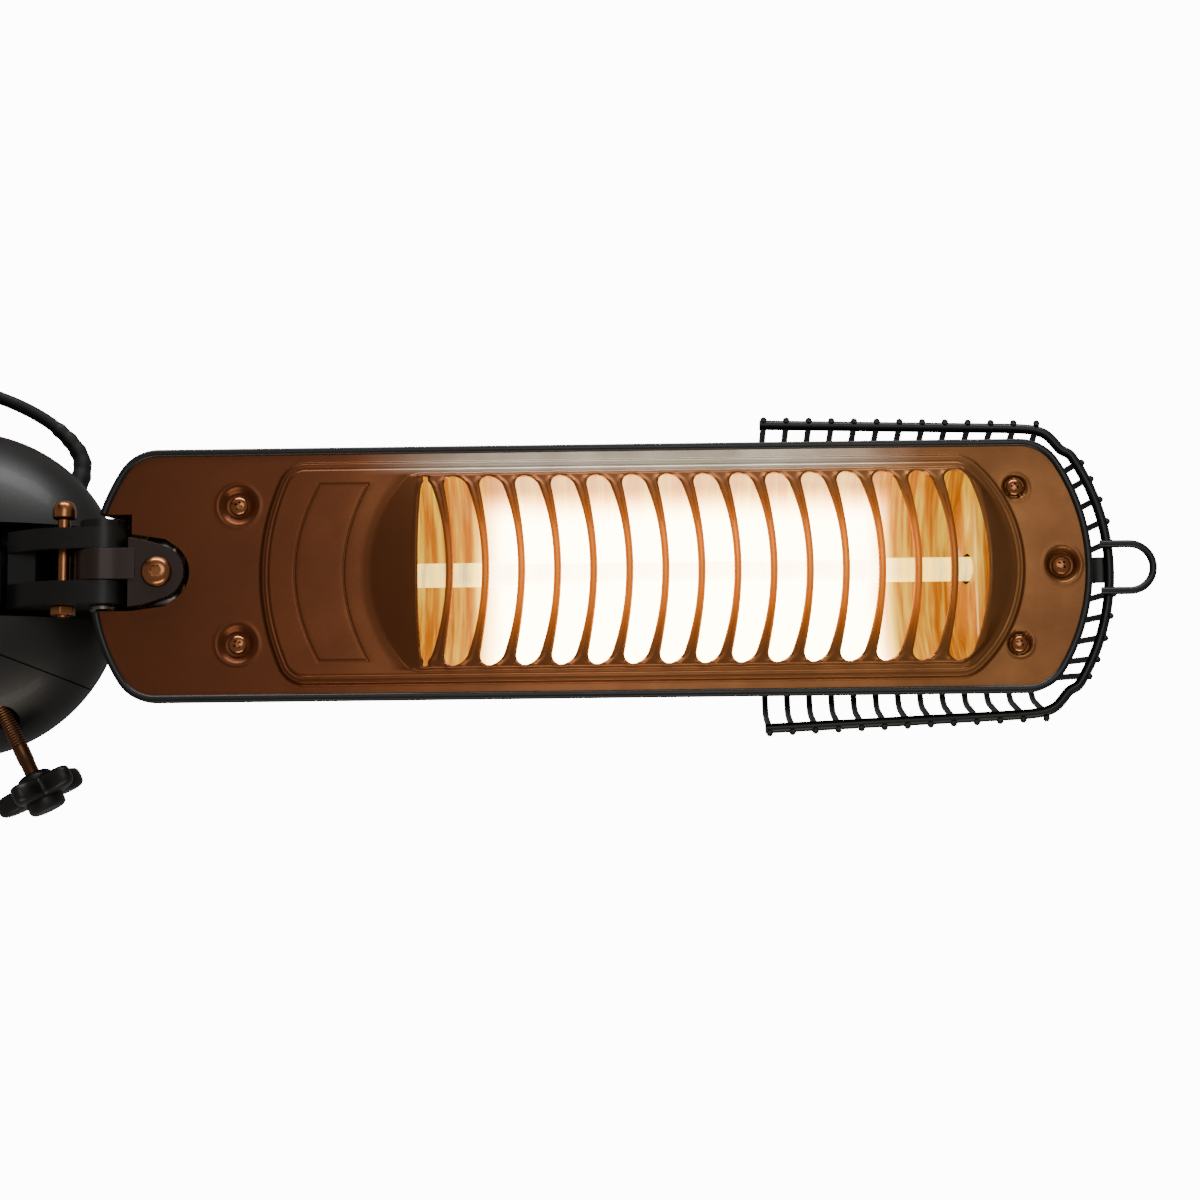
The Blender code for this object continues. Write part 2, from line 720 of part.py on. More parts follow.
def arm_bracket():
    """The head's knuckle and tongue, one casting."""
    px, py, pz = PIVOT
    low, high = -12.1, 1.8
    mat = own("arm_bracket", (0.05, 0.036, 0.03), 0.4, 0.3)
    knuckle = arc(px, pz, KNUCKLE_R, 15, 290, 20)
    knuckle += [(px + 9.0, -59.6), (px + 16.5, -59.2), (px + 16.5, -50.4)]
    obj = prism("arm_bracket", knuckle, low, high, mat, "y", origin=PIVOT)
    left = px + 13.3
    tongue = [(left, -17.2), (left + 7, -15.9)]
    tongue += arc(TONGUE_SCREW_X, -1.3, 12.2, -68, 68, 11)
    tongue += [(left + 7, 13.4), (left, 14.4)]
    plate = prism("add_tongue", tongue, -58.6, -50.9, None)
    apply_boolean(obj, plate, "UNION")
    bores = [prism_data_y(arc(px, pz, PIN_R + 0.35, 0, 345, 24), -30, 20)]
    apply_boolean(obj, merged("cut_pin_bore", bores))
    hole = prism("cut_tongue_hole", arc(TONGUE_SCREW_X, -1.3, 3.5, 0, 340, 18), -64, -46, None)
    return apply_boolean(obj, hole)


def prism_data_y(points, low, high):
    n = len(points)
    verts = [Vector((a, low, b)) for a, b in points] + [Vector((a, high, b)) for a, b in points]
    faces = [tuple(range(n)), tuple(range(2 * n - 1, n - 1, -1))]
    faces += [(k, (k + 1) % n, (k + 1) % n + n, k + n) for k in range(n)]
    return verts, faces


def ear_outline():
    px, _, pz = PIVOT
    eye = arc(px, pz, EAR_R, -100, 100, 15)
    return eye + [(58.0, -33.6), (46.0, -24.0), (34.5, -20.0), (34.5, -46.0), (48.0, -55.0), (60.0, -58.4)]


def hinge_ears():
    """The hub's pair of ears, joined by a root block against the collar."""
    mat = own("hinge_ears", BLACK, 0.5, 0.1)
    px, _, pz = PIVOT
    upper = prism("hinge_ears", ear_outline(), -22.0, -12.4, mat, "y")
    lower = prism("add_ear_lower", ear_outline(), 2.1, 12.6, None, "y")
    root = box("add_ear_root", (34.4, -21.4, -44.6), (47.0, 12.0, -14.4), None)
    boss_up = turned("add_boss_upper", disc(10.6, 0, 6.0), None, (px, -20.0, pz), (0, -1, 0), 20)
    apply_boolean(upper, root, "UNION")
    apply_boolean(upper, lower, "UNION")
    apply_boolean(upper, boss_up, "UNION")
    pin = merged("cut_ear_pin", [prism_data_y(arc(px, pz, PIN_R + GAP, 0, 345, 24), -23.5, 20)])
    apply_boolean(upper, pin)
    bolt = merged("cut_ear_bolt", [prism_data_y(arc(FRICTION_X, pz, 3.3, 0, 340, 18), -40, 20)])
    return apply_boolean(upper, bolt)


def hinge_hardware():
    px, _, pz = PIVOT
    pin = [(0.0, -23.2), (PIN_R, -23.2), (PIN_R, 12.9), (6.0, 12.9), (6.0, 14.6), (4.8, 15.6), (0.0, 15.6)]
    turned("hinge_pin", pin,
           own("hinge_pin", (0.5, 0.5, 0.5), 0.35, 1.0), (px, 0, pz), (0, 1, 0), 20)
    copper = (0.55, 0.36, 0.24)
    bolt = [
        (0.0, 16.9),
        (2.9, 16.9),
        (2.9, -27.4),
        (3.4, -28.0),
        (5.1, -28.0),
        (5.3, -31.0),
        (4.9, -34.0),
        (3.2, -35.6),
        (0.0, -36.0),
    ]
    turned("friction_bolt", bolt, own("friction_bolt", copper, 0.3, 1.0), (FRICTION_X, 0, pz), (0, 1, 0), 16)
    turned("friction_nut", [(3.7, 12.9), (5.9, 12.9), (5.9, 16.6), (3.7, 16.6)],
           own("friction_nut", copper, 0.35, 1.0), (FRICTION_X, 0, pz), (0, 1, 0), 6, closed=True)
    head = [(0.0, -60.0), (2.6, -60.0), (2.6, -61.6), (3.6, -62.6), (5.8, -61.4), (7.0, -58.9), (3.1, -58.9),
            (3.1, -42.0), (0.0, -42.0)]
    bright = own("bracket_screw", copper, 0.25, 1.0)
    turned("bracket_screw", head, bright, (TONGUE_SCREW_X, -1.3, 0), sides=18)
    steel = own("bracket_plate", (0.5, 0.5, 0.5), 0.4, 1.0)
    plate = box("bracket_plate", (99.5, -20, -50.6), (116, 17, -48.4), steel)
    tool = prism("cut_bracket_plate", arc(TONGUE_SCREW_X, -1.3, 3.5, 0, 340, 18), -54, -44, None)
    apply_boolean(plate, tool)


# ---------------------------------------------------------------- hub


def dome_profile(sign, inner_r):
    """Closed section of a dome shell from the widest ring to the collar."""
    def height(r, top_r, top_h):
        return top_h * math.sqrt(max(1 - (r / top_r) ** 2, 0.0))
    low = math.asin(inner_r / HUB_R)
    angles = [math.pi / 2 + (low - math.pi / 2) * k / 6 for k in range(7)]
    outer = [(HUB_R * math.sin(a), HUB_H * math.cos(a)) for a in angles]
    r2, h2 = HUB_R - SHELL, HUB_H - SHELL
    inner = [(inner_r, height(inner_r, r2, h2))]
    kept = [a for a in reversed(angles) if r2 * math.sin(a) > inner_r + 3]
    inner += [(r2 * math.sin(a), h2 * math.cos(a)) for a in kept]
    return [(r, sign * (h + GAP)) for r, h in outer + inner]


def hub_shells():
    satin = own("hub_upper_shell", (0.05, 0.05, 0.048), 0.5)
    upper = turned("hub_upper_shell", dome_profile(1, COLLAR_R + GAP + 0.2), satin, sides=40, closed=True)
    gx, gy = GLAND[0], GLAND[1]
    tool = turned("cut_gland_hole", disc(6.5, -12, 14), None, (gx, gy, GLAND[2]), GLAND_DIR, 16)
    apply_boolean(upper, tool)
    for index, name in enumerate(("hub_cover_a", "hub_cover_b", "hub_cover_c")):
        shell = turned(name, dome_profile(-1, COLLAR_R + GAP + 0.2), own(name, (0.05, 0.05, 0.048), 0.5),
                       sides=40, closed=True)
        apply_boolean(shell, seam_wedge(index), "INTERSECT")
        if index == 0:
            tool = box("cut_cover_pocket", (20, -28.2, -70), (90, 15.4, -13.0), None)
            apply_boolean(shell, tool)
        if index == 1:
            out = (math.cos(CLAMP_ANGLE), math.sin(CLAMP_ANGLE), 0)
            tool = turned("cut_cover_screw", disc(5.4, 40, 90), None, (0, 0, CLAMP_Z), out, 18)
            apply_boolean(shell, tool)


def seam_wedge(index):
    """The plan of one pinwheel cover, between two seams that miss the axis."""
    def seam(angle, shift):
        along = Vector((math.cos(angle), math.sin(angle)))
        across = Vector((-along.y, along.x))
        return [across * (SEAM_OFFSET + shift), across * (SEAM_OFFSET + shift) + along * 150]
    start = SEAM_ANGLE + math.radians(120 * (index - 1))
    stop = start + math.radians(120)
    first = seam(start, GAP)
    last = seam(stop, -GAP)
    far = Vector((math.cos((start + stop) / 2 + 0.2), math.sin((start + stop) / 2 + 0.2))) * 260
    plan = [first[0], first[1], far, last[1], last[0]]
    return prism(f"keep_cover_{index}", [(p.x, p.y) for p in plan], -80, 20, None)


def hub_core():
    """Pole collar with the chassis disc that everything in the hub hangs on."""
    h = COLLAR_HALF
    profile = [
        (BORE_R, -h), (COLLAR_R, -h), (COLLAR_R, -5.0), (68.0, -5.0), (68.0, -2.4), (COLLAR_R, -2.4),
        (COLLAR_R, h), (BORE_R, h),
    ]
    obj = turned("hub_core", profile, own("hub_core", (0.04, 0.04, 0.04), 0.5, 0.3), sides=40, closed=True)
    out = (math.cos(CLAMP_ANGLE), math.sin(CLAMP_ANGLE), 0)
    tool = turned("cut_insert_hole", disc(6.4, 20, 40), None, (0, 0, CLAMP_Z), out, 16)
    return apply_boolean(obj, tool)


def pole_liner():
    """A rubber strip inside the bore, opposite the clamp screw."""
    start = math.degrees(CLAMP_ANGLE) + 180 - 55
    outer = arc(0, 0, BORE_R - GAP, start, start + 110, 13)
    inner = arc(0, 0, BORE_R - 2.2, start + 110, start, 13)
    prism("pole_liner", outer + inner, -44.0, 44.0, own("pole_liner", (0.03, 0.03, 0.03), 0.8), smooth=True)


def clamp():
    out = Vector((math.cos(CLAMP_ANGLE), math.sin(CLAMP_ANGLE), 0))
    base = (0, 0, CLAMP_Z)
    turned("clamp_insert", [(4.1, 28.6), (6.1, 28.6), (6.1, 33.4), (8.0, 33.4), (8.0, 44.0), (4.1, 44.0)],
           own("clamp_insert", (0.6, 0.45, 0.2), 0.35, 1.0), base, out, 16, closed=True)
    pad_at = Vector(base) + out * 26.2
    turned("clamp_pad", [(0.0, 23.0), (5.0, 23.0), (5.5, 23.5), (5.5, 26.1), (0.0, 26.1)],
           own("clamp_pad", (0.03, 0.03, 0.03), 0.7), base, out, 16, origin=pad_at)
    screw = [(0.0, 26.4), (2.6, 26.4), (3.8, 27.6), (3.8, 90.0), (3.4, 90.6), (3.4, 106.0), (0.0, 106.0)]
    bronze = own("clamp_screw", (0.5, 0.36, 0.26), 0.35, 1.0)
    turned("clamp_screw", screw, bronze, base, out, 16, origin=pad_at)
    star_knob(out, pad_at)


def star_knob(out, origin):
    """A five-lobed hand knob with a raised hub on its inner side."""
    turn = frame_along(out)
    def lobe(angle, scale):
        radius = 16.8 + 4.6 * math.cos(5 * angle)
        return radius * scale
    rings = ((100.0, 0.86), (101.4, 0.99), (107.0, 1.0), (109.0, 0.93), (109.6, 0.78))
    sides = 30
    verts, rows = [], []
    base = Vector((0, 0, CLAMP_Z))
    for height, scale in rings:
        row = []
        for k in range(sides):
            a = 2 * math.pi * k / sides + 0.31
            r = lobe(a, scale)
            row.append(len(verts))
            verts.append(base + turn @ Vector((r * math.cos(a), r * math.sin(a), height)))
        rows.append(row)
    faces = []
    for low, high in zip(rows, rows[1:]):
        faces += band(low, high)
    faces += [tuple(reversed(rows[0])), tuple(rows[-1])]
    mat = own("star_knob", (0.025, 0.025, 0.024), 0.45)
    knob = add("star_knob", verts, faces, mat, origin)
    stem = [(0.0, 96.4), (6.6, 96.4), (8.6, 99.0), (8.8, 113.4), (7.4, 114.6), (0.0, 114.6)]
    hub = turned("add_knob_hub", stem, None, base, out, 20)
    apply_boolean(knob, hub, "UNION")
    bore = turned("cut_knob_bore", disc(3.4 + GAP, 90, 106.3), None, base, out, 16)
    apply_boolean(knob, bore)
    relief = turned("cut_knob_relief", disc(4.2, 90, 97.6), None, base, out, 16)
    apply_boolean(knob, relief)


def gland_and_block():
    grey = (0.03, 0.03, 0.03)
    turned("cable_gland", [(3.5, -17.0), (6.0, -17.0), (6.0, 3.4), (5.2, 4.2), (4.3, 6.4), (3.5, 6.4)],
           own("cable_gland", grey, 0.5), GLAND, GLAND_DIR, 16, closed=True)
    turned("gland_nut", [(7.4, -16.0), (9.8, -16.0), (9.8, -12.5), (7.4, -12.5)],
           own("gland_nut", grey, 0.5), GLAND, GLAND_DIR, 6, closed=True)
    cream = own("hub_terminal_block", (0.75, 0.72, 0.65), 0.6)
    box("hub_terminal_block", (-60, -14, -2.1), (-42, 14, 12), cream)
    rise = HUB_H * math.sqrt(1 - (SHELL_SCREW_R / HUB_R) ** 2)
    slope = Vector((SHELL_SCREW_R / HUB_R ** 2, rise / HUB_H ** 2)).normalized()
    for name, angle in (("shell_screw_a", 20), ("shell_screw_b", 140), ("shell_screw_c", 260)):
        a = math.radians(angle)
        spot = (SHELL_SCREW_R * math.cos(a), SHELL_SCREW_R * math.sin(a), rise + GAP)
        outward = (slope.x * math.cos(a), slope.x * math.sin(a), slope.y)
        screw = [(0.0, 0.4), (3.8, 0.4), (3.9, 1.4), (3.0, 2.6), (0.0, 2.8)]
        turned(name, screw, own(name, (0.3, 0.3, 0.3), 0.4, 1.0), spot, outward, 12)


def ear_screws():
    for name, y in (("ear_screw_a", -15.0), ("ear_screw_b", 6.0)):
        profile = [(0.0, -1.9), (4.0, -1.9), (4.0, 1.0), (2.8, 2.2), (0.0, 2.2)]
        turned(name, profile, own(name, (0.4, 0.4, 0.4), 0.4, 1.0), (41.0, y, 0), sides=12)


# ---------------------------------------------------------------- cord


def cord():
    rubber = (0.02, 0.018, 0.017)
    curve = bpy.data.curves.new("mains_cord", "CURVE")
    curve.dimensions = "3D"
    curve.bevel_depth = CORD_R * MM
    curve.bevel_resolution = 2
    curve.use_fill_caps = True
    curve.render_resolution_u = 0
    points = smooth_route(CORD_ROUTE, 6.6)
    spline = curve.splines.new("POLY")
    spline.points.add(len(points) - 1)
    for slot, p in zip(spline.points, points):
        slot.co = (*(p * MM), 1.0)
    obj = bpy.data.objects.new("mains_cord", curve)
    bpy.context.scene.collection.objects.link(obj)
    curve.materials.append(own("mains_cord", rubber, 0.55))
    ring = arc(COIL_MEAN_R, 0, COIL_BUNDLE_R, 15, 345, 12)
    coil = turned("cord_coil", ring, own("cord_coil", rubber, 0.55), COIL_CENTRE, (0, 1, 0), 28, closed=True)
    cx, cy, cz = COIL_CENTRE
    apply_boolean(coil, merged("add_coil_ends", [coil_entry(), coil_tail()]), "UNION")
    tie_r = COIL_BUNDLE_R + 1.3
    band_ring = [(tie_r, -3.5), (tie_r + 1.2, -3.5), (tie_r + 1.2, 3.5), (tie_r, 3.5)]
    cloth = own("coil_tie", BLACK, 0.6)
    turned("coil_tie", band_ring, cloth, (cx - COIL_MEAN_R, cy, cz), (0, 0, 1), 16, closed=True)
    plug(rubber)


def coil_entry():
    """The straight run that joins the coil from above, along its outer side."""
    cx, cy, cz = COIL_CENTRE
    outward = Vector((math.cos(ENTRY_ANGLE), 0, math.sin(ENTRY_ANGLE)))
    ahead = Vector((math.sin(ENTRY_ANGLE), 0, -math.cos(ENTRY_ANGLE)))
    touch = Vector((cx, cy, cz)) + outward * (COIL_MEAN_R + COIL_PLACES_R)
    return sweep([touch - ahead * (ENTRY_RUN - GAP), touch], CORD_R, 10)


def coil_tail():
    """The short end that leaves the coil's side and hangs down to the plug."""
    cx, cy, cz = COIL_CENTRE
    x, y = cx + COIL_MEAN_R + TAIL[0], cy + TAIL[1]
    return sweep([(x, y, cz), (x, y, cz + TAIL[2])], CORD_R, 10)


def plug(rubber):
    """A two-pin moulded plug hanging from the cord's end."""
    cx, cy, cz = COIL_CENTRE
    px, cy, pz = cx + COIL_MEAN_R + TAIL[0], cy + TAIL[1], cz + TAIL[2]
    profile = [(0.0, 0.0), (4.2, 0.0), (5.0, 8.0), (8.2, 17.0), (17.0, 24.0), (18.4, 27.0), (18.4, 40.0),
               (17.4, 41.0), (0.0, 41.0)]
    turned("plug_body", profile, own("plug_body", rubber, 0.5), (px, cy, pz - GAP), (0, 0, -1), 20)
    for name, dx in (("plug_pin_a", -9.5), ("plug_pin_b", 9.5)):
        pin = [(0.0, 0.0), (2.4, 0.0), (2.4, 17.5), (1.5, 19.0), (0.0, 19.0)]
        turned(name, pin, own(name, (0.6, 0.55, 0.4), 0.3, 1.0), (px + dx, cy, pz - 41.6), (0, 0, -1), 12)


def build():
    clear_scene()
    casing()
    front_panel()
    panel_screws()
    reflector()
    lamp()
    wire_guard()
    guard_fixings()
    arm_bracket()
    hinge_ears()
    hinge_hardware()
    hub_core()
    hub_shells()
    pole_liner()
    clamp()
    gland_and_block()
    ear_screws()
    cord()


build()
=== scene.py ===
import math

import bmesh
import bpy
import numpy as np
from mathutils import Matrix, Vector


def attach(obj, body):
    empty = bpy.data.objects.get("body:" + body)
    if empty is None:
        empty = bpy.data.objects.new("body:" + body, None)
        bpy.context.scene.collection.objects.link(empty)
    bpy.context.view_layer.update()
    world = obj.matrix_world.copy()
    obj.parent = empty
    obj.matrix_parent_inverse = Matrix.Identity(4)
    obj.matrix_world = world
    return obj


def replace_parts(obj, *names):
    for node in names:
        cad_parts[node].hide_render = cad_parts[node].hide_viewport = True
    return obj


MM = 0.001
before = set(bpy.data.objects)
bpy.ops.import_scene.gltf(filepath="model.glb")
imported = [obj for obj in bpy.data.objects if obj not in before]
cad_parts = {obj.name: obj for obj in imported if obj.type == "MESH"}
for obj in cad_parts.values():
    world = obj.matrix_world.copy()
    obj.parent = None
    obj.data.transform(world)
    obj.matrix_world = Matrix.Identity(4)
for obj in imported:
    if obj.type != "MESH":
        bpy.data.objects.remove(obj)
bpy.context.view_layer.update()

# Dimensions shared with the CAD, in millimetres.
HEAD = (73.8, 524.7, 57.5, 90.7, 90.0, 20.0, 21.0)
FACE_Z = -55.2
BACK_Z = -13.0
TRAY = (151.0, 494.5, 50.8, 108.0, 64.0, 13.0, 16.0)
FIELD = (200.0, 489.0, 45.0, 63.0, 56.0, 8.0, 8.0)
FIELD_LEFT = 222.0
FIELD_RIGHT = 479.0
SLOT_HALF = 42.7
SLOT_BULGE = 7.0
SLOT_TAPER = 1.5
LIP_HALF = 36.0
BAR_FIRST = 237.2
BAR_PITCH = 16.03
BAR_HALF = 1.7
SLOTS = 16
PANEL_SCREWS = (
    ("panel_screw_a", 141.0, -31.5, 9.4, 2.6, 4.2),
    ("panel_screw_b", 141.0, 31.5, 9.4, 2.6, 4.2),
    ("panel_screw_c", 491.0, -35.5, 5.8, 2.2, 3.8),
    ("panel_screw_d", 491.0, 35.5, 5.8, 2.2, 3.8),
    ("guard_screw", 511.2, 0.0, 8.3, 4.0, 4.4),
)
TONGUE_SCREW = (105.0, -1.3)
PIVOT = (78.7, -5.2, -47.0)
FRICTION_X = 60.5
HUB_R = 78.0
HUB_H = 45.0
SHELL = 2.6
COLLAR_R = 32.0
CLAMP_ANGLE = math.radians(64.0)
CLAMP_Z = -22.0
GLAND = (48.4, -47.6, 18.6)
GLAND_DIR = (0.275, -0.935, 0.22)
LAMP_Z = -44.0
RAIL_R = 2.1
WIRE_R = 1.25
EXTRA_R = 0.2
HOOPS = 13
HOOP_FIRST = 380.0
HOOP_PITCH = 10.37
GUARD_TOP_Z = 3.0
GUARD_END = (437.0, 98.0)
CORD_R = 3.1
CORD_ROUTE = (
    (50.27, -53.96, 20.1),
    (52.2, -60.5, 21.6),
    (52.1, -68.6, 22.2),
    (47.3, -77.0, 20.8),
    (37.6, -85.9, 17.2),
    (24.6, -93.0, 10.6),
    (8.0, -98.6, 0.4),
    (-6.0, -102.1, -16.2),
    (-11.0, -103.8, -37.0),
    (-8.3, -104.5, -56.0),
    (-0.37, -104.7, -72.62),
)
COIL_CENTRE = (-24.0, -104.7, -117.8)
COIL_MEAN_R = 34.7
COIL_PLACES_R = 8.2
ENTRY_ANGLE = math.radians(30.0)
TAIL = (6.2, 5.4, -44.0)


# ---------------------------------------------------------------- materials


class Nodes:
    """A material's node tree with short calls for the nodes used here."""

    def __init__(self, name):
        self.mat = bpy.data.materials.new(name)
        self.mat.use_nodes = True
        self.tree = self.mat.node_tree
        self.shader = self.tree.nodes["Principled BSDF"]
        self.coord = self.tree.nodes.new("ShaderNodeTexCoord").outputs["Object"]

    def link(self, a, b):
        self.tree.links.new(a, b)
        return b

    def noise(self, scale, detail=4.0, stretch=None, rough=0.55):
        node = self.tree.nodes.new("ShaderNodeTexNoise")
        node.inputs["Scale"].default_value = scale
        node.inputs["Detail"].default_value = detail
        node.inputs["Roughness"].default_value = rough
        source = self.coord
        if stretch:
            mapping = self.tree.nodes.new("ShaderNodeMapping")
            mapping.inputs["Scale"].default_value = stretch
            self.link(source, mapping.inputs["Vector"])
            source = mapping.outputs["Vector"]
        self.link(source, node.inputs["Vector"])
        return node.outputs["Fac"]

    def span(self, value, low, high, to_low=0.0, to_high=1.0, smooth=False):
        node = self.tree.nodes.new("ShaderNodeMapRange")
        node.interpolation_type = "SMOOTHSTEP" if smooth else "LINEAR"
        for key, number in (("From Min", low), ("From Max", high), ("To Min", to_low), ("To Max", to_high)):
            node.inputs[key].default_value = number
        self.link(value, node.inputs["Value"])
        return node.outputs["Result"]

    def maths(self, kind, a, b):
        node = self.tree.nodes.new("ShaderNodeMath")
        node.operation = kind
        for slot, value in zip(node.inputs, (a, b)):
            if isinstance(value, (int, float)):
                slot.default_value = value
            elif value is not None:
                self.link(value, slot)
        return node.outputs[0]

    def mix(self, factor, a, b, kind="MIX"):
        node = self.tree.nodes.new("ShaderNodeMix")
        node.data_type = "RGBA"
        node.blend_type = kind
        if isinstance(factor, float):
            node.inputs[0].default_value = factor
        else:
            self.link(factor, node.inputs[0])
        for slot, value in ((node.inputs[6], a), (node.inputs[7], b)):
            if isinstance(value, tuple):
                slot.default_value = (*value, 1.0)
            else:
                self.link(value, slot)
        return node.outputs[2]

    def ramp(self, value, stops):
        node = self.tree.nodes.new("ShaderNodeValToRGB")
        line = node.color_ramp.elements
        while len(line) < len(stops):
            line.new(0.5)
        for element, (place, colour) in zip(line, stops):
            element.position = place
            element.color = (*colour, 1.0)
        self.link(value, node.inputs["Fac"])
        return node.outputs["Color"]

    def axis(self, letter):
        node = self.tree.nodes.new("ShaderNodeSeparateXYZ")
        self.link(self.coord, node.inputs[0])
        return node.outputs[letter]

    def bump(self, height, strength, distance=0.0002):
        node = self.tree.nodes.new("ShaderNodeBump")
        node.inputs["Strength"].default_value = strength
        node.inputs["Distance"].default_value = distance
        self.link(height, node.inputs["Height"])
        self.link(node.outputs["Normal"], self.shader.inputs["Normal"])


def srgb(r, g, b):
    return tuple(((c / 255 + 0.055) / 1.055) ** 2.4 if c > 10 else c / 3295 for c in (r, g, b))


def finish_of(name, colour, rough, metal=0.0, coat=0.0, grain=900.0, bump=0.08, vary=0.14, blotch=40.0,
              stretch=None, sheen=0.0):
    """A paint, plastic, rubber or metal finish with grain, blotches and uneven gloss."""
    n = Nodes(name)
    low = tuple(c * (1 - vary) for c in colour)
    high = tuple(min(c * (1 + vary), 1.0) for c in colour)
    wide = n.noise(blotch, 3.0, stretch)
    fine = n.noise(grain, 4.0, stretch)
    n.link(n.mix(wide, low, high), n.shader.inputs["Base Color"])
    n.link(n.span(wide, 0.3, 0.7, rough * 0.86, min(rough * 1.16, 1.0)), n.shader.inputs["Roughness"])
    n.shader.inputs["Metallic"].default_value = metal
    n.shader.inputs["Coat Weight"].default_value = coat
    n.shader.inputs["Coat Roughness"].default_value = 0.08
    n.shader.inputs["Sheen Weight"].default_value = sheen
    n.bump(fine, bump)
    return n.mat


def panel_finish():
    """Satin heat-browned steel with painted light: a brightness ramp along the panel, a painted lamp glow
    over the slots and a painted highlight strip near the top edge, with fine pressing marks.
    """
    n = Nodes("panel_browned_steel")
    # Painted light: the base colour ramps from dark at the left end to brighter over the middle and right.
    along = n.span(n.axis("X"), 0.07, 0.53)
    painted_light_and_blotch_tone = n.ramp(along, [
        (0.0, srgb(98, 52, 25)), (0.22, srgb(110, 59, 29)), (0.5, srgb(148, 92, 52)),
        (0.85, srgb(142, 92, 48)), (1.0, srgb(142, 92, 52)),
    ])
    # Painted lamp glow: over the slot field the colour turns orange and emits light, standing in for the
    # lamp's light on the bars.
    across = n.maths("ABSOLUTE", n.axis("Y"), None)
    lit = n.maths("MULTIPLY", n.span(across, 0.044, 0.012, smooth=True),
                  n.span(n.axis("X"), 0.215, 0.27, smooth=True))
    lit = n.maths("MULTIPLY", lit, n.span(n.axis("X"), 0.482, 0.43, smooth=True))
    wide = n.noise(28.0, 4.0)
    fine = n.noise(1400.0, 3.0, (0.35, 1.0, 1.0))
    painted_light_and_blotch_tone = n.mix(lit, painted_light_and_blotch_tone, srgb(232, 122, 32))
    # Painted highlight: a pale silver-beige strip near the top edge over the middle of the panel.
    painted_highlight = n.maths("MULTIPLY", n.span(n.axis("Y"), -0.0435, -0.0465, smooth=True),
                     n.span(n.axis("X"), 0.19, 0.27, smooth=True))
    painted_highlight = n.maths("MULTIPLY", painted_highlight, n.span(n.axis("X"), 0.46, 0.38, smooth=True))
    painted_light_and_blotch_tone = n.mix(painted_highlight, painted_light_and_blotch_tone, srgb(205, 190, 168))
    painted_light_and_blotch_tone = n.mix(n.span(wide, 0.35, 0.7, 0.0, 0.28), painted_light_and_blotch_tone, srgb(70, 38, 22))
    n.link(painted_light_and_blotch_tone, n.shader.inputs["Base Color"])
    n.link(n.span(wide, 0.3, 0.7, 0.30, 0.42), n.shader.inputs["Roughness"])
    n.shader.inputs["Metallic"].default_value = 0.75
    n.link(painted_light_and_blotch_tone, n.shader.inputs["Emission Color"])
    n.link(n.maths("MULTIPLY", lit, 0.55), n.shader.inputs["Emission Strength"])
    n.bump(fine, 0.06)
    return n.mat


def glow_finish(name, base, rough, metal, peak, side, hot=(1.0, 0.84, 0.48), cool=(1.0, 0.27, 0.0)):
    """Metal or glass that shines most over the filament and is streaky towards the ends; on the filament this
    is the lamp's own glow, on the reflector it is a painted reflection of the filament.
    """
    n = Nodes(name)
    x, y = n.axis("X"), n.axis("Y")
    middle = n.maths("MULTIPLY", n.span(x, 0.244, 0.262, smooth=True), n.span(x, 0.440, 0.424, smooth=True))
    middle = n.maths("MULTIPLY", middle, n.span(y, -0.040, -0.024, 0.03, 1.0, smooth=True))
    streak = n.noise(8.0, 3.0, (30.0, 1.6, 1.6), 0.7)
    weak = n.span(streak, 0.40, 0.66, side * 0.5, side * 1.5)
    power = n.maths("ADD", n.maths("MULTIPLY", middle, peak), weak)
    warm = n.mix(n.span(streak, 0.44, 0.62), cool, (1.0, 0.62, 0.03))
    n.link(n.mix(middle, warm, hot), n.shader.inputs["Emission Color"])
    n.link(power, n.shader.inputs["Emission Strength"])
    n.link(n.mix(streak, base, tuple(c * 0.8 for c in base)), n.shader.inputs["Base Color"])
    n.shader.inputs["Roughness"].default_value = rough
    n.shader.inputs["Metallic"].default_value = metal
    n.bump(streak, 0.25, 0.0004)
    return n.mat


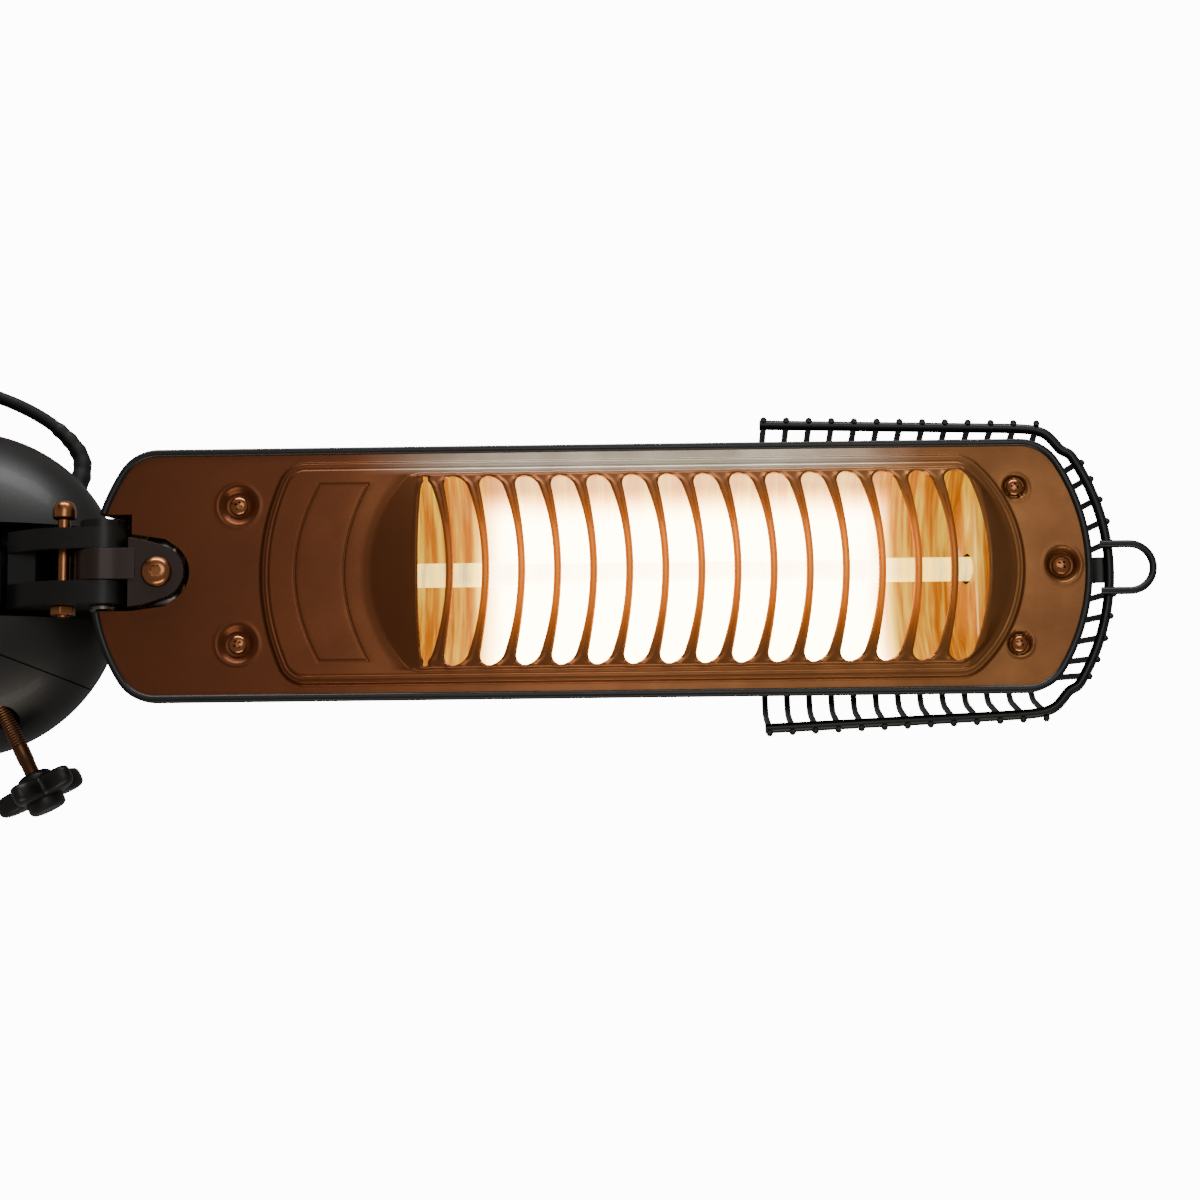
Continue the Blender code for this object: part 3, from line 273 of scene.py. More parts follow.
def make_finishes():
    copper = finish_of("plated_screw", srgb(176, 116, 76), 0.26, 1.0, grain=1600, bump=0.05)
    wire = finish_of("wire_black", srgb(8, 6, 5), 0.42, 0.0, 0.05, 1500, 0.05)
    return {
        "panel": panel_finish(),
        "casing": finish_of("casing_gloss_black", srgb(7, 5, 4), 0.36, 0.0, 0.0, 1200, 0.03),
        "hub": finish_of("hub_satin_black", srgb(14, 11, 10), 0.44, 0.0, 0.05, 1500, 0.10, 0.10, 14.0),
        "ear": finish_of("ear_black", srgb(10, 7, 6), 0.42, 0.1, 0.05, 1100, 0.12),
        "arm": finish_of("arm_brown_black", srgb(46, 30, 23), 0.36, 0.3, 0.1, 1100, 0.12),
        "wire": wire,
        "copper": copper,
        "bolt": finish_of("bolt_bronze", srgb(104, 70, 48), 0.32, 0.9, grain=1300, bump=0.08),
        "steel": finish_of("plain_steel", srgb(150, 146, 140), 0.36, 1.0, grain=1300, bump=0.06),
        "brass": finish_of("pin_brass", srgb(196, 170, 110), 0.28, 1.0, grain=1500, bump=0.04),
        "rubber": finish_of("cord_rubber", srgb(15, 13, 12), 0.55, grain=1700, bump=0.10),
        "knob": finish_of("knob_plastic", srgb(10, 8, 6), 0.44, grain=1500, bump=0.12),
        "ceramic": finish_of("ceramic", srgb(222, 214, 198), 0.6, grain=900, bump=0.12, vary=0.05),
        "tie": finish_of("tie_cloth", srgb(26, 26, 27), 0.85, grain=2200, bump=0.5, sheen=0.4),
        # The reflector's emission is painted glow: a painted reflection of the hot filament.
        "reflector": glow_finish("reflector_painted_glow", (0.20, 0.07, 0.01), 0.3, 0.0, 16.0, 0.75),
        "tube": glow_finish("quartz_lit", (1.0, 0.9, 0.6), 0.08, 0.0, 10.0, 2.4, cool=(1.0, 0.78, 0.22)),
        "filament": glow_finish("filament_hot", (1.0, 0.8, 0.5), 0.4, 0.0, 14.0, 6.0),
    }


finishes = make_finishes()


def wear(obj, key):
    obj.data.materials.clear()
    obj.data.materials.append(finishes[key])
    return obj


# ---------------------------------------------------------------- mesh helpers


def smoothed(obj, angle=32.0):
    obj.data.shade_smooth()
    obj.data.set_sharp_from_angle(angle=math.radians(angle))
    return obj


def add(name, verts, faces, key=None, angle=32.0):
    mesh = bpy.data.meshes.new(name)
    mesh.from_pydata([Vector(v) * MM for v in verts], [], faces)
    bm = bmesh.new()
    bm.from_mesh(mesh)
    bmesh.ops.remove_doubles(bm, verts=bm.verts, dist=0.000004)
    bmesh.ops.recalc_face_normals(bm, faces=bm.faces)
    bm.to_mesh(mesh)
    bm.free()
    obj = bpy.data.objects.new(name, mesh)
    bpy.context.scene.collection.objects.link(obj)
    smoothed(obj, angle)
    if key:
        wear(obj, key)
    return obj


def stand_for(obj, body, *nodes):
    """The piece rides the body and is shown in place of the CAD nodes."""
    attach(obj, body)
    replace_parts(obj, *nodes)
    return obj


def band(low, high):
    n = max(len(low), len(high))
    if len(low) == 1:
        return [(low[0], high[(k + 1) % n], high[k]) for k in range(n)]
    if len(high) == 1:
        return [(low[k], low[(k + 1) % n], high[0]) for k in range(n)]
    return [(low[k], low[(k + 1) % n], high[(k + 1) % n], high[k]) for k in range(n)]


def frame_along(direction):
    z = Vector(direction).normalized()
    ref = Vector((0, 0, 1)) if abs(z.z) < 0.95 else Vector((1, 0, 0))
    x = (ref - z * ref.dot(z)).normalized()
    return Matrix((x, z.cross(x), z)).transposed()


def turned_data(profile, base=(0, 0, 0), along=(0, 0, 1), sides=64, closed=False, wobble=None):
    turn, centre = frame_along(along), Vector(base)
    verts, rows = [], []
    for radius, height in profile:
        count = 1 if radius < 1e-6 else sides
        rows.append(list(range(len(verts), len(verts) + count)))
        for k in range(count):
            a = 2 * math.pi * k / sides
            r = radius * wobble(a) if wobble else radius
            verts.append(centre + turn @ Vector((r * math.cos(a), r * math.sin(a), height)))
    faces = []
    for low, high in zip(rows, rows[1:] + rows[:1] * closed):
        if len(low) > 1 or len(high) > 1:
            faces += band(low, high)
    return verts, faces


def turned(name, profile, key, base=(0, 0, 0), along=(0, 0, 1), sides=64, closed=False):
    return add(name, *turned_data(profile, base, along, sides, closed), key)


def prism_data(points, low, high):
    n = len(points)
    verts = [Vector((x, y, low)) for x, y in points] + [Vector((x, y, high)) for x, y in points]
    faces = [tuple(range(n)), tuple(range(2 * n - 1, n - 1, -1))]
    return verts, faces + [(k, (k + 1) % n, (k + 1) % n + n, k + n) for k in range(n)]


def box_data(low, high):
    plan = [(low[0], low[1]), (high[0], low[1]), (high[0], high[1]), (low[0], high[1])]
    return prism_data(plan, low[2], high[2])


def placed(data, base, along):
    turn, centre = frame_along(along), Vector(base)
    return [centre + turn @ Vector(v) for v in data[0]], data[1]


def joined(*pieces):
    verts, faces = [], []
    for some, their in pieces:
        start = len(verts)
        verts += list(some)
        faces += [tuple(i + start for i in f) for f in their]
    return verts, faces


def carve(obj, data, operation="DIFFERENCE"):
    """Applies a Boolean with a helper that is removed afterwards."""
    tool = add("tool", *data)
    mod = obj.modifiers.new("cut", "BOOLEAN")
    mod.operation = operation
    mod.solver = "EXACT"
    mod.object = tool
    bake(obj)
    bpy.data.objects.remove(tool)
    return obj


def bake(obj):
    """Turns the modified shape into the object's own mesh."""
    graph = bpy.context.evaluated_depsgraph_get()
    mesh = bpy.data.meshes.new_from_object(obj.evaluated_get(graph))
    obj.modifiers.clear()
    obj.data = mesh
    return obj


def rounded(obj, width=0.4, segments=3, angle=35.0):
    mod = obj.modifiers.new("edge", "BEVEL")
    mod.width = width * MM
    mod.segments = segments
    mod.limit_method = "ANGLE"
    mod.angle_limit = math.radians(angle)
    mod.harden_normals = True
    return obj


def arc(cx, cy, radius, start, stop, count):
    angles = np.radians(np.linspace(start, stop, count))
    return [(cx + radius * math.cos(a), cy + radius * math.sin(a)) for a in angles]


def filleted(points, radius, steps=6):
    """The path with each corner turned into a short curve."""
    pts = [Vector(p) for p in points]
    out = [pts[0]]
    for a, p, b in zip(pts, pts[1:], pts[2:]):
        before, after = a - p, b - p
        cut = min(radius, before.length * 0.48, after.length * 0.48)
        start, stop = p + before.normalized() * cut, p + after.normalized() * cut
        for k in range(steps + 1):
            t = k / steps
            out.append(start * (1 - t) ** 2 + p * (2 * t * (1 - t)) + stop * t ** 2)
    return out + [pts[-1]]


def wires(name, paths, radius, key, sides=6):
    """One curve object with a round wire along each path."""
    curve = bpy.data.curves.new(name, "CURVE")
    curve.dimensions = "3D"
    curve.bevel_depth = radius * MM
    curve.bevel_resolution = sides
    curve.use_fill_caps = True
    for path in paths:
        spline = curve.splines.new("POLY")
        spline.points.add(len(path) - 1)
        spline.use_smooth = True
        for slot, p in zip(spline.points, path):
            slot.co = (*(Vector(p) * MM), 1.0)
    obj = bpy.data.objects.new(name, curve)
    bpy.context.scene.collection.objects.link(obj)
    curve.materials.append(finishes[key])
    return obj


def swept_data(points, radii, sides=24):
    pts = [Vector(p) for p in points]
    verts, rows = [], []
    side = None
    for i, p in enumerate(pts):
        t = (pts[min(i + 1, len(pts) - 1)] - pts[max(i - 1, 0)]).normalized()
        side = t.orthogonal().normalized() if side is None else (side - t * side.dot(t)).normalized()
        up = t.cross(side)
        rows.append(list(range(len(verts), len(verts) + sides)))
        for k in range(sides):
            a = 2 * math.pi * k / sides
            verts.append(p + (side * math.cos(a) + up * math.sin(a)) * radii[i])
    faces = [tuple(reversed(rows[0])), tuple(rows[-1])]
    for low, high in zip(rows, rows[1:]):
        faces += band(low, high)
    return verts, faces


# ---------------------------------------------------------------- head outline


def inset(shape, d):
    xl, xr, hw, rl, rr, cl, cr = shape
    return xl + d, xr - d, hw - d, rl - d, rr - d, cl - d, cr - d


def corner_centres(shape):
    xl, xr, hw, rl, rr, cl, cr = shape
    left = xl + rl - math.sqrt((rl - cl) ** 2 - (hw - cl) ** 2)
    right = xr - rr + math.sqrt((rr - cr) ** 2 - (hw - cr) ** 2)
    return left, right


def outline(shape, ends=61, corners=15):
    xl, xr, hw, rl, rr, cl, cr = shape
    left, right = corner_centres(shape)
    turn_r = math.degrees(math.atan2(hw - cr, right - (xr - rr)))
    turn_l = math.degrees(math.atan2(hw - cl, (xl + rl) - left))
    pts = arc(xr - rr, 0, rr, -turn_r, turn_r, ends)[:-1]
    pts += arc(right, hw - cr, cr, turn_r, 90, corners)
    pts += arc(left, hw - cl, cl, 90, 180 - turn_l, corners)[:-1]
    pts += arc(xl + rl, 0, rl, 180 - turn_l, 180 + turn_l, ends)[:-1]
    pts += arc(left, -(hw - cl), cl, 180 + turn_l, 270, corners)
    pts += arc(right, -(hw - cr), cr, 270, 360 - turn_r, corners)[:-1]
    return pts


def end_x(shape, y, right=False):
    xl, xr, hw, rl, rr, cl, cr = shape
    y = min(abs(y), hw)
    r, c = (rr, cr) if right else (rl, cl)
    centre = corner_centres(shape)[1 if right else 0]
    if y <= r * (hw - c) / (r - c):
        bow = r - math.sqrt(r * r - y * y)
        return xr - bow if right else xl + bow
    reach = math.sqrt(max(c * c - (y - (hw - c)) ** 2, 0.0))
    return centre + reach if right else centre - reach


def depth_in(shape, x, y):
    """Distance inside the outline, for arrays of points."""
    xl, xr, hw, rl, rr, cl, cr = shape
    left, right = corner_centres(shape)
    y = np.abs(y)
    from_right = rr - np.hypot(np.maximum(x - xr + rr, 0), y)
    from_left = rl - np.hypot(np.minimum(x - xl - rl, 0), y)
    d = np.minimum(hw - y, np.minimum(from_right, from_left))
    for kx, c, ex, sign in ((right, cr, xr - rr, 1), (left, cl, xl + rl, -1)):
        qx, qy = (x - kx) * sign, y - (hw - c)
        ux, uy = (kx - ex) * sign, hw - c
        corner = (qx >= 0) & (ux * qy - uy * qx >= 0)
        d = np.where(corner, c - np.hypot(qx, qy), d)
    return d


def ease(value, low, high):
    t = np.clip((value - low) / (high - low), 0.0, 1.0)
    return t * t * (3 - 2 * t)


# ---------------------------------------------------------------- front panel


def slot_edges(y):
    """Left and right X of every slot at this height, as pairs."""
    a = min(abs(y), SLOT_HALF)
    bow = SLOT_BULGE * (abs(y) / SLOT_HALF) ** 2
    over = max(a - (SLOT_HALF - 5.0), 0.0)
    pull = 5.0 - math.sqrt(max(25.0 - over ** 2, 0.0)) + SLOT_TAPER * (a / SLOT_HALF) ** 3
    pairs = []
    for i in range(SLOTS):
        left = FIELD_LEFT + 1.0 if i == 0 else BAR_FIRST + BAR_PITCH * (i - 1) + BAR_HALF - bow
        right = 476.6 - bow if i == SLOTS - 1 else BAR_FIRST + BAR_PITCH * i - BAR_HALF - bow
        room = max(min(pull, (right - left) * 0.5 - 1.0), 0.0)
        pairs.append((left + room, right - room))
    return pairs


def bow_x(shape, y, limit, right=False):
    """X on the outline's big end arc, which runs on past the rounded corner as far as the limit."""
    xl, xr, _, rl, rr, _, _ = shape
    a = min(abs(y), limit)
    return xr - rr + math.sqrt(rr * rr - a * a) if right else xl + rl - math.sqrt(rl * rl - a * a)


def panel_row(y):
    """X of every column at this height and the column pairs that are slots."""
    label = min(abs(y), 40.0)
    label_l, label_r = 167 + 11 * (label / 40) ** 2, 189 + 11 * (label / 40) ** 2
    tray_l, tray_r = bow_x(TRAY, y, 54.0), bow_x(TRAY, y, 50.8, True)
    field_l, field_r = bow_x(FIELD, y, 45.5), bow_x(FIELD, y, 45.5, True)
    edge = inset(HEAD, 2.6)
    marks = [(end_x(edge, y), 0), (tray_l, 105), (tray_l + 5.4, 16), (label_l - 1, 16), (label_l + 1, 7),
             (label_r - 1, 12), (label_r + 1, 7), (field_l, 5), (FIELD_LEFT, 24)]
    slots = []
    total = sum(n for _, n in marks)
    for left, right in slot_edges(y):
        bar = 8 if marks[-1][0] != FIELD_LEFT else 2
        marks += [(left, bar), (right, 3)]
        total += bar + 3
        slots.append(total - 3)
    last = min(FIELD_RIGHT - 7.0 * (min(abs(y), 43.0) / 43.0) ** 2, field_r - 1.0)
    tray_in = max(tray_r - 5.4, field_r + 1.0)
    marks += [(last, 4), (field_r, 14), (tray_in, 4), (max(tray_r, tray_in + 1.0), 14)]
    marks += [(end_x(edge, y, True), 62)]
    xs = [marks[0][0]]
    for x, count in marks[1:]:
        start = xs[-1]
        stop = max(x, start + 0.012 * count)
        xs += [start + (stop - start) * (k + 1) / count for k in range(count)]
    scale = (marks[-1][0] - xs[0]) / (xs[-1] - xs[0])
    if scale < 1:
        xs = [xs[0] + (x - xs[0]) * scale for x in xs]
    return xs, slots


def panel_lift(x, y):
    """How far the pressing stands towards the viewer from the panel's edge plane."""
    a = np.abs(y)
    tray = depth_in(TRAY, x, y)
    lift = 2.1 * ease(tray, 0.0, 1.3) + 0.7 * ease(tray, 3.5, 4.7) + 0.35 * np.exp(-((tray - 3.0) / 0.5) ** 2)
    rows = np.unique(y)
    left = np.array([end_x(FIELD, v) for v in rows])
    right = np.array([end_x(FIELD, v, True) for v in rows])
    at = np.searchsorted(rows, y)
    stop = np.minimum(FIELD_RIGHT - 7.0 * (np.minimum(a, 43.0) / 43.0) ** 2, right[at] - 2.5)
    up = np.clip((x - left[at]) / np.maximum(FIELD_LEFT + 0.8 - left[at], 0.5), 0, 1)
    down = np.clip((right[at] - x) / np.maximum(right[at] - stop, 0.5), 0, 1)
    arch = 1.6 * ease(45.0 - a, 0.0, 1.8) + 6.9 * np.clip(1 - (a / 43.2) ** 2, 0, 1)
    foot = 0.3 * np.exp(-((x - left[at]) / 0.6) ** 2) * (a < 44)
    foot = foot + 0.3 * np.exp(-((right[at] - x) / 0.6) ** 2) * (a < 44)
    lift = lift + arch * up * down * (a < 45.0) + foot
    label_l = 167 + 11 * (np.minimum(a, 40) / 40) ** 2
    edge = np.minimum(np.minimum(x - label_l, label_l + 22 - x), 40 - a)
    lift = lift - 0.32 * np.exp(-(edge / 0.42) ** 2)
    for _, cx, cy, r, depth, head in PANEL_SCREWS:
        away = np.hypot(x - cx, y - cy)
        lift = lift - depth * ease(r - 0.3 - away, 0.0, r - 0.3 - head - 0.9)
        lift = lift + 0.22 * np.exp(-((away - r - 0.3) / 0.6) ** 2)
    return lift


def slot_roll(xs, y, slots):
    """The rolled bead round every slot in one row."""
    xs = np.array(xs)
    near = np.full(len(xs), 99.0)
    rise = max(abs(y) - SLOT_HALF, 0.0)
    for k in slots:
        gap = np.maximum(np.maximum(xs[k] - xs, xs - xs[k + 3]), 0.0)
        near = np.minimum(near, np.hypot(gap, rise))
    return 0.6 * np.exp(-((near - 1.3) / 0.7) ** 2) - 0.4 * np.clip(1 - near / 0.5, 0, 1) ** 2


def front_panel():
    half = list(np.arange(0.0, 36.0, 1.0)) + list(np.arange(36.0, 42.6, 0.42)) + [SLOT_HALF]
    half += list(np.arange(43.1, 54.8, 0.4)) + [54.9]
    heights = [-h for h in reversed(half[1:])] + half
    xs, ys, slots = [], [], []
    for y in heights:
        row, slots = panel_row(y)
        xs.append(row)
        ys.append([y] * len(row))
    width = len(xs[0])
    x, y = np.array(xs), np.array(ys)
    lift = panel_lift(x.ravel(), y.ravel()).reshape(x.shape)
    for i, height in enumerate(heights):
        lift[i] += slot_roll(xs[i], height, slots)
    z = FACE_Z - lift
    verts = np.stack([x, y, z], axis=-1).reshape(-1, 3).tolist()
    holes = {k + j for k in slots for j in range(3)}
    faces = []
    for i in range(len(heights) - 1):
        inside = abs(heights[i]) <= SLOT_HALF + 1e-6 and abs(heights[i + 1]) <= SLOT_HALF + 1e-6
        for k in range(width - 1):
            if inside and k in holes:
                continue
            a = i * width + k
            faces.append((a, a + width, a + width + 1, a + 1))
    obj = add("panel_pressing", verts, faces, "panel", 60.0)
    if sum(p.normal.z for p in obj.data.polygons) > 0:
        obj.data.flip_normals()
    shell = obj.modifiers.new("sheet", "SOLIDIFY")
    shell.thickness = 0.8 * MM
    shell.offset = -1
    bake(obj)
    notch = [(60, -28.0), (93, -28.0), (93, -19.0), (108, -16.6)]
    notch += arc(TONGUE_SCREW[0] - 0.5, -1.3, 14.6, -60, 60, 25)
    notch += [(108, 14.0), (93, 16.0), (60, 16.0)]
    carve(obj, prism_data(notch, -64, -45))
    smoothed(obj, 60.0)
    wear(obj, "panel")
    return stand_for(obj, "head", "front_panel")


# ---------------------------------------------------------------- head


def casing():
    levels = (
        (BACK_Z, 19.5), (BACK_Z - 0.1, 18.2), (BACK_Z - 0.6, 16.6), (BACK_Z - 1.8, 15.0),
        (BACK_Z - 3.4, 13.6), (BACK_Z - 5.4, 12.3), (FACE_Z + 6.0, 0.45), (FACE_Z + 4.6, 0.1),
        (FACE_Z - 0.3, 0.0), (-55.95, 0.12),
        (-56.3, 0.5), (-56.5, 1.2), (-56.5, 2.2), (-56.25, 2.9), (-55.7, 3.3), (-55.4, 3.2), (-55.35, 2.45),
        (-54.2, 2.3), (-52.6, 1.5), (FACE_Z + 4.6, 1.4), (BACK_Z - 5.6, 14.0),
        (BACK_Z - 2.0, 16.6), (BACK_Z - 1.3, 18.6),
    )
    verts, rows = [], []
    for z, d in levels:
        plan = outline(inset(HEAD, d))
        rows.append(list(range(len(verts), len(verts) + len(plan))))
        verts += [(x, y, z) for x, y in plan]
    faces = [tuple(rows[0]), tuple(reversed(rows[-1]))]
    for low, high in zip(rows, rows[1:]):
        faces += band(low, high)
    obj = add("casing_shell", verts, faces, "casing", 40.0)
    carve(obj, box_data((60, -28.4, -70), (97.5, 16.4, -33.0)))
    smoothed(obj, 40.0)
    wear(obj, "casing")
    return stand_for(obj, "head", "head_casing")


def cross_recess(reach, depth):
    """Two tapered blades, as a tool that points along +Z from below the crown."""
    bars = []
    for turn in (0, 1):
        low, high = (reach * 0.45, 0.45), (reach, 0.62)
        corners = []
        for (a, b), h in ((low, -depth), (high, 1.2)):
            plan = [(-a, -b), (a, -b), (a, b), (-a, b)]
            corners += [Vector((y, x, h)) if turn else Vector((x, y, h)) for x, y in plan]
        faces = [(0, 1, 2, 3), (7, 6, 5, 4)] + [(k, (k + 1) % 4, (k + 1) % 4 + 4, k + 4) for k in range(4)]
        bars.append((corners, faces))
    return bars


def panel_screws():
    for name, x, y, _, depth, head in PANEL_SCREWS:
        seat = FACE_Z + depth - 0.3
        profile = [(0.0, 2.25)]
        for k in range(1, 10):
            a = math.radians(10 * k)
            profile.append((head * math.sin(a), 0.55 + 1.7 * math.cos(a)))
        profile += [(head, 0.2), (head * 0.97, 0.0), (0.0, 0.0)]
        obj = turned(name + "_head", profile, "copper", (x, y, seat), (0, 0, -1), 48)
        for bar in cross_recess(head * 0.62, 1.5):
            carve(obj, placed(bar, (x, y, seat - 2.1), (0, 0, -1)))
        turn = Matrix.Rotation(math.radians({"a": 20, "b": 55, "c": 8, "d": 32}.get(name[-1], 40)), 4, "Z")
        middle = Matrix.Translation(Vector((x, y, 0)) * MM)
        obj.data.transform(middle @ turn @ middle.inverted())
        wear(smoothed(obj), "copper")
        stand_for(obj, "head", name)


def lamp():
    """The lamp's coiled wire, seen as a bright band through the tube."""
    turns, steps = 60, 14
    path = []
    for k in range(turns * steps + 1):
        a = 2 * math.pi * k / steps
        path.append((238.3 + 203.4 * k / (turns * steps), 1.75 * math.cos(a), LAMP_Z + 1.75 * math.sin(a)))
    coil = wires("filament_coil", [path], 0.42, "filament", 2)
    stand_for(coil, "head", "lamp_filament")
    trough()
    for name, side in (("right", ((472.4, -53.7), (475.0, -54.7), (479.5, -55.3))),
                       ("left", ((212.0, -54.2), (214.5, -54.6), (217.0, -54.9)))):
        rows = [[(x, y, z) for y in np.linspace(-LIP_HALF, LIP_HALF, 12)] for x, z in side]
        sheet_piece("reflector_lip_" + name, rows)


def sheet_piece(name, rows):
    """A thin sheet through rows of points, in the reflector finish with its painted glow."""
    n = len(rows[0])
    verts = [p for row in rows for p in row]
    faces = [(n * r + k, n * r + k + 1, n * r + k + n + 1, n * r + k + n)
             for r in range(len(rows) - 1) for k in range(n - 1)]
    obj = add(name, verts, faces, "reflector", 60.0)
    obj.data.shade_smooth()
    shell = obj.modifiers.new("sheet", "SOLIDIFY")
    shell.thickness = 0.5 * MM
    shell.offset = 0
    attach(obj, "head")
    return obj


def trough():
    """The reflector's curved trough, which meets both slanting end plates."""
    marks = ((-47.0, -53.9), (-44.0, -53.5), (-38.0, -42.8), (-27.0, -32.4), (-14.0, -26.4), (0.0, -24.8))
    half = filleted([(0, y, z) for y, z in marks], 6.0, 5)
    section = [(p.y, p.z) for p in half] + [(-p.y, p.z) for p in reversed(half[:-1])]
    rows = []
    for t in np.linspace(0, 1, 9):
        row = []
        for y, z in section:
            left = 212.8 + (z + 25.0) * 13.8 / 28.6
            right = 463.2 - (z + 25.0) * 9.3 / 28.6
            row.append((left + (right - left) * t, y, z))
        rows.append(row)
    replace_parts(sheet_piece("reflector_trough", rows), "reflector")


# ---------------------------------------------------------------- guard


def rail_z(x):
    return -31.0 - (x - 380.0) * 7.0 / 122.0


def guard():
    cx, r = GUARD_END
    side = [(378.0, 70.3), (440.0, 67.9), (495.0, 65.8), (503.5, 64.9), (508.5, 63.0)]
    side += [(511.8, 59.6), (515.0, 55.2)]
    tip = arc(cx, 0, r, 33, 0, 18)
    half = side + tip[:-1]
    plan = [(x, -y) for x, y in half] + [tip[-1]] + [(x, y) for x, y in reversed(half)]
    rail = filleted([(x, y, rail_z(x)) for x, y in plan], 5.0, 3)
    feet, paths = [], []
    for i in range(HOOPS):
        x = HOOP_FIRST + HOOP_PITCH * i
        w, z = 70.3 - (x - 378.0) * 4.7 / 126.0, rail_z(x)
        bend = GUARD_TOP_Z - 8.0
        edge = w - (bend - z) * math.tan(math.radians(15))
        half = [(w + 2.3, z - 1.7), (w - 0.4, z + 1.2), (edge, bend), (edge - 3.6, bend + 5.8)]
        half += [(edge - 10.0, GUARD_TOP_Z)]
        pts = [(x, -y, h) for y, h in half] + [(x, y, h) for y, h in reversed(half)]
        paths.append(filleted(pts, 4.5))
        feet += [(x, s * (w + 2.2), z - 0.9) for s in (-1, 1)]
    last = HOOP_FIRST + HOOP_PITCH * (HOOPS - 1)
    for y in (11.5, 21.5, 31.5, 41.0, 48.5):
        x = cx + math.sqrt(r * r - y * y)
        z = rail_z(x)
        for s in (-1, 1):
            pts = [
                (x + 2.2, s * y * 1.012, z - 1.5), (x - 0.5, s * y, z + 1.2),
                (x - 8.2, s * y * 0.95, GUARD_TOP_Z - 8.0), (x - 12.0, s * y * 0.93, GUARD_TOP_Z - 2.2),
                (x - 17.5, s * y * 0.9, GUARD_TOP_Z + 0.3),
                (last - 1.5, s * y * (0.88 if y < 40 else 0.9), GUARD_TOP_Z + 0.3),
            ]
            paths.append(filleted(pts, 4.5))
            feet.append((x + 2.1, s * y * 1.01, z - 0.8))
    paths.append([(HOOP_FIRST - 2.0, 0, GUARD_TOP_Z - 1.6), (last + 2.0, 0, GUARD_TOP_Z - 1.6)])
    frame_wire = wires("guard_rail", [rail], RAIL_R + EXTRA_R, "wire", 8)
    mesh = wires("guard_wires", paths, WIRE_R + EXTRA_R, "wire", 5)
    bead = [(0.0, -1.5), (0.8, -1.3), (1.35, -0.7), (1.55, 0.0), (1.35, 0.7), (0.8, 1.3), (0.0, 1.5)]
    ball = turned_data(bead, sides=14)
    beads = add("guard_welds", *joined(*[([v + Vector(f) for v in ball[0]], ball[1]) for f in feet]), "wire")
    for obj in (frame_wire, mesh, beads):
        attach(obj, "head")
    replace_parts(frame_wire, "wire_guard")


def pull_ring():
    tip = GUARD_END[0] + GUARD_END[1]
    z = rail_z(tip) - RAIL_R - 1.75 - 0.3
    loop = [(tip - 4.6, -10.7)] + arc(tip + 8.4, 0, 10.7, -90, 90, 33) + [(tip - 4.6, 10.7)]
    ring = wires("ring_wire", [[(x, y, z) for x, y in loop]], 1.75, "wire", 7)
    stand_for(ring, "head", "pull_ring")


# ---------------------------------------------------------------- hinge and hub


def hinge_fixings():
    x, y = TONGUE_SCREW
    crown = [(0.0, 3.6), (3.0, 3.55), (4.6, 3.2), (5.9, 2.4), (6.7, 1.3), (7.0, 0.5), (6.9, 0.0), (3.0, 0.0),
             (3.0, -14.0), (0.0, -14.0)]
    obj = turned("bracket_screw_head", crown, "copper", (x, y, -58.9), (0, 0, -1), 64)
    hexagon = arc(0, 0, 2.7, 0, 300, 6)
    carve(obj, placed(prism_data(hexagon, 1.4, 6.0), (x, y, -58.9), (0, 0, -1)))
    wear(smoothed(rounded(obj, 0.2, 2)), "copper")
    stand_for(obj, "head", "bracket_screw")
    bolt = [(0.0, 53.5), (2.9, 53.5), (2.9, 9.0), (5.0, 8.2), (5.3, 7.8), (5.4, 5.0), (5.0, 2.6), (4.1, 1.1),
            (2.7, 0.25), (0.0, 0.0)]
    obj = turned("friction_bolt_head", bolt, "copper", (FRICTION_X, -36.0, PIVOT[2]), (0, 1, 0), 48)
    hexagon = prism_data(arc(0, 0, 2.3, 0, 300, 6), -3.0, 2.0)
    socket = placed(hexagon, (FRICTION_X, -36.0, PIVOT[2]), (0, 1, 0))
    carve(obj, socket)
    wear(smoothed(obj), "copper")
    stand_for(obj, "hub", "friction_bolt")


def dome_profile(sign, inner_r):
    low = math.asin(inner_r / HUB_R)
    angles = [math.pi / 2 + (low - math.pi / 2) * k / 26 for k in range(27)]
    outer = [(HUB_R * math.sin(a), HUB_H * math.cos(a)) for a in angles]
    r2, h2 = HUB_R - SHELL, HUB_H - SHELL
    inner = [(inner_r, h2 * math.sqrt(max(1 - (inner_r / r2) ** 2, 0.0)))]
    under = [a for a in reversed(angles) if r2 * math.sin(a) > inner_r + 1]
    inner += [(r2 * math.sin(a), h2 * math.cos(a)) for a in under]
    return [(r, sign * (h + 0.3)) for r, h in outer + inner]


def seam_plan(index):
    def seam(angle, shift):
        along = Vector((math.cos(angle), math.sin(angle)))
        across = Vector((-along.y, along.x))
        return [across * (20.0 + shift), across * (20.0 + shift) + along * 150]
    start = math.radians(21.0 + 120 * (index - 1))
    stop = start + math.radians(120)
    first, last = seam(start, 0.3), seam(stop, -0.3)
    far = Vector((math.cos((start + stop) / 2 + 0.2), math.sin((start + stop) / 2 + 0.2))) * 260
    return [(p.x, p.y) for p in (first[0], first[1], far, last[1], last[0])]


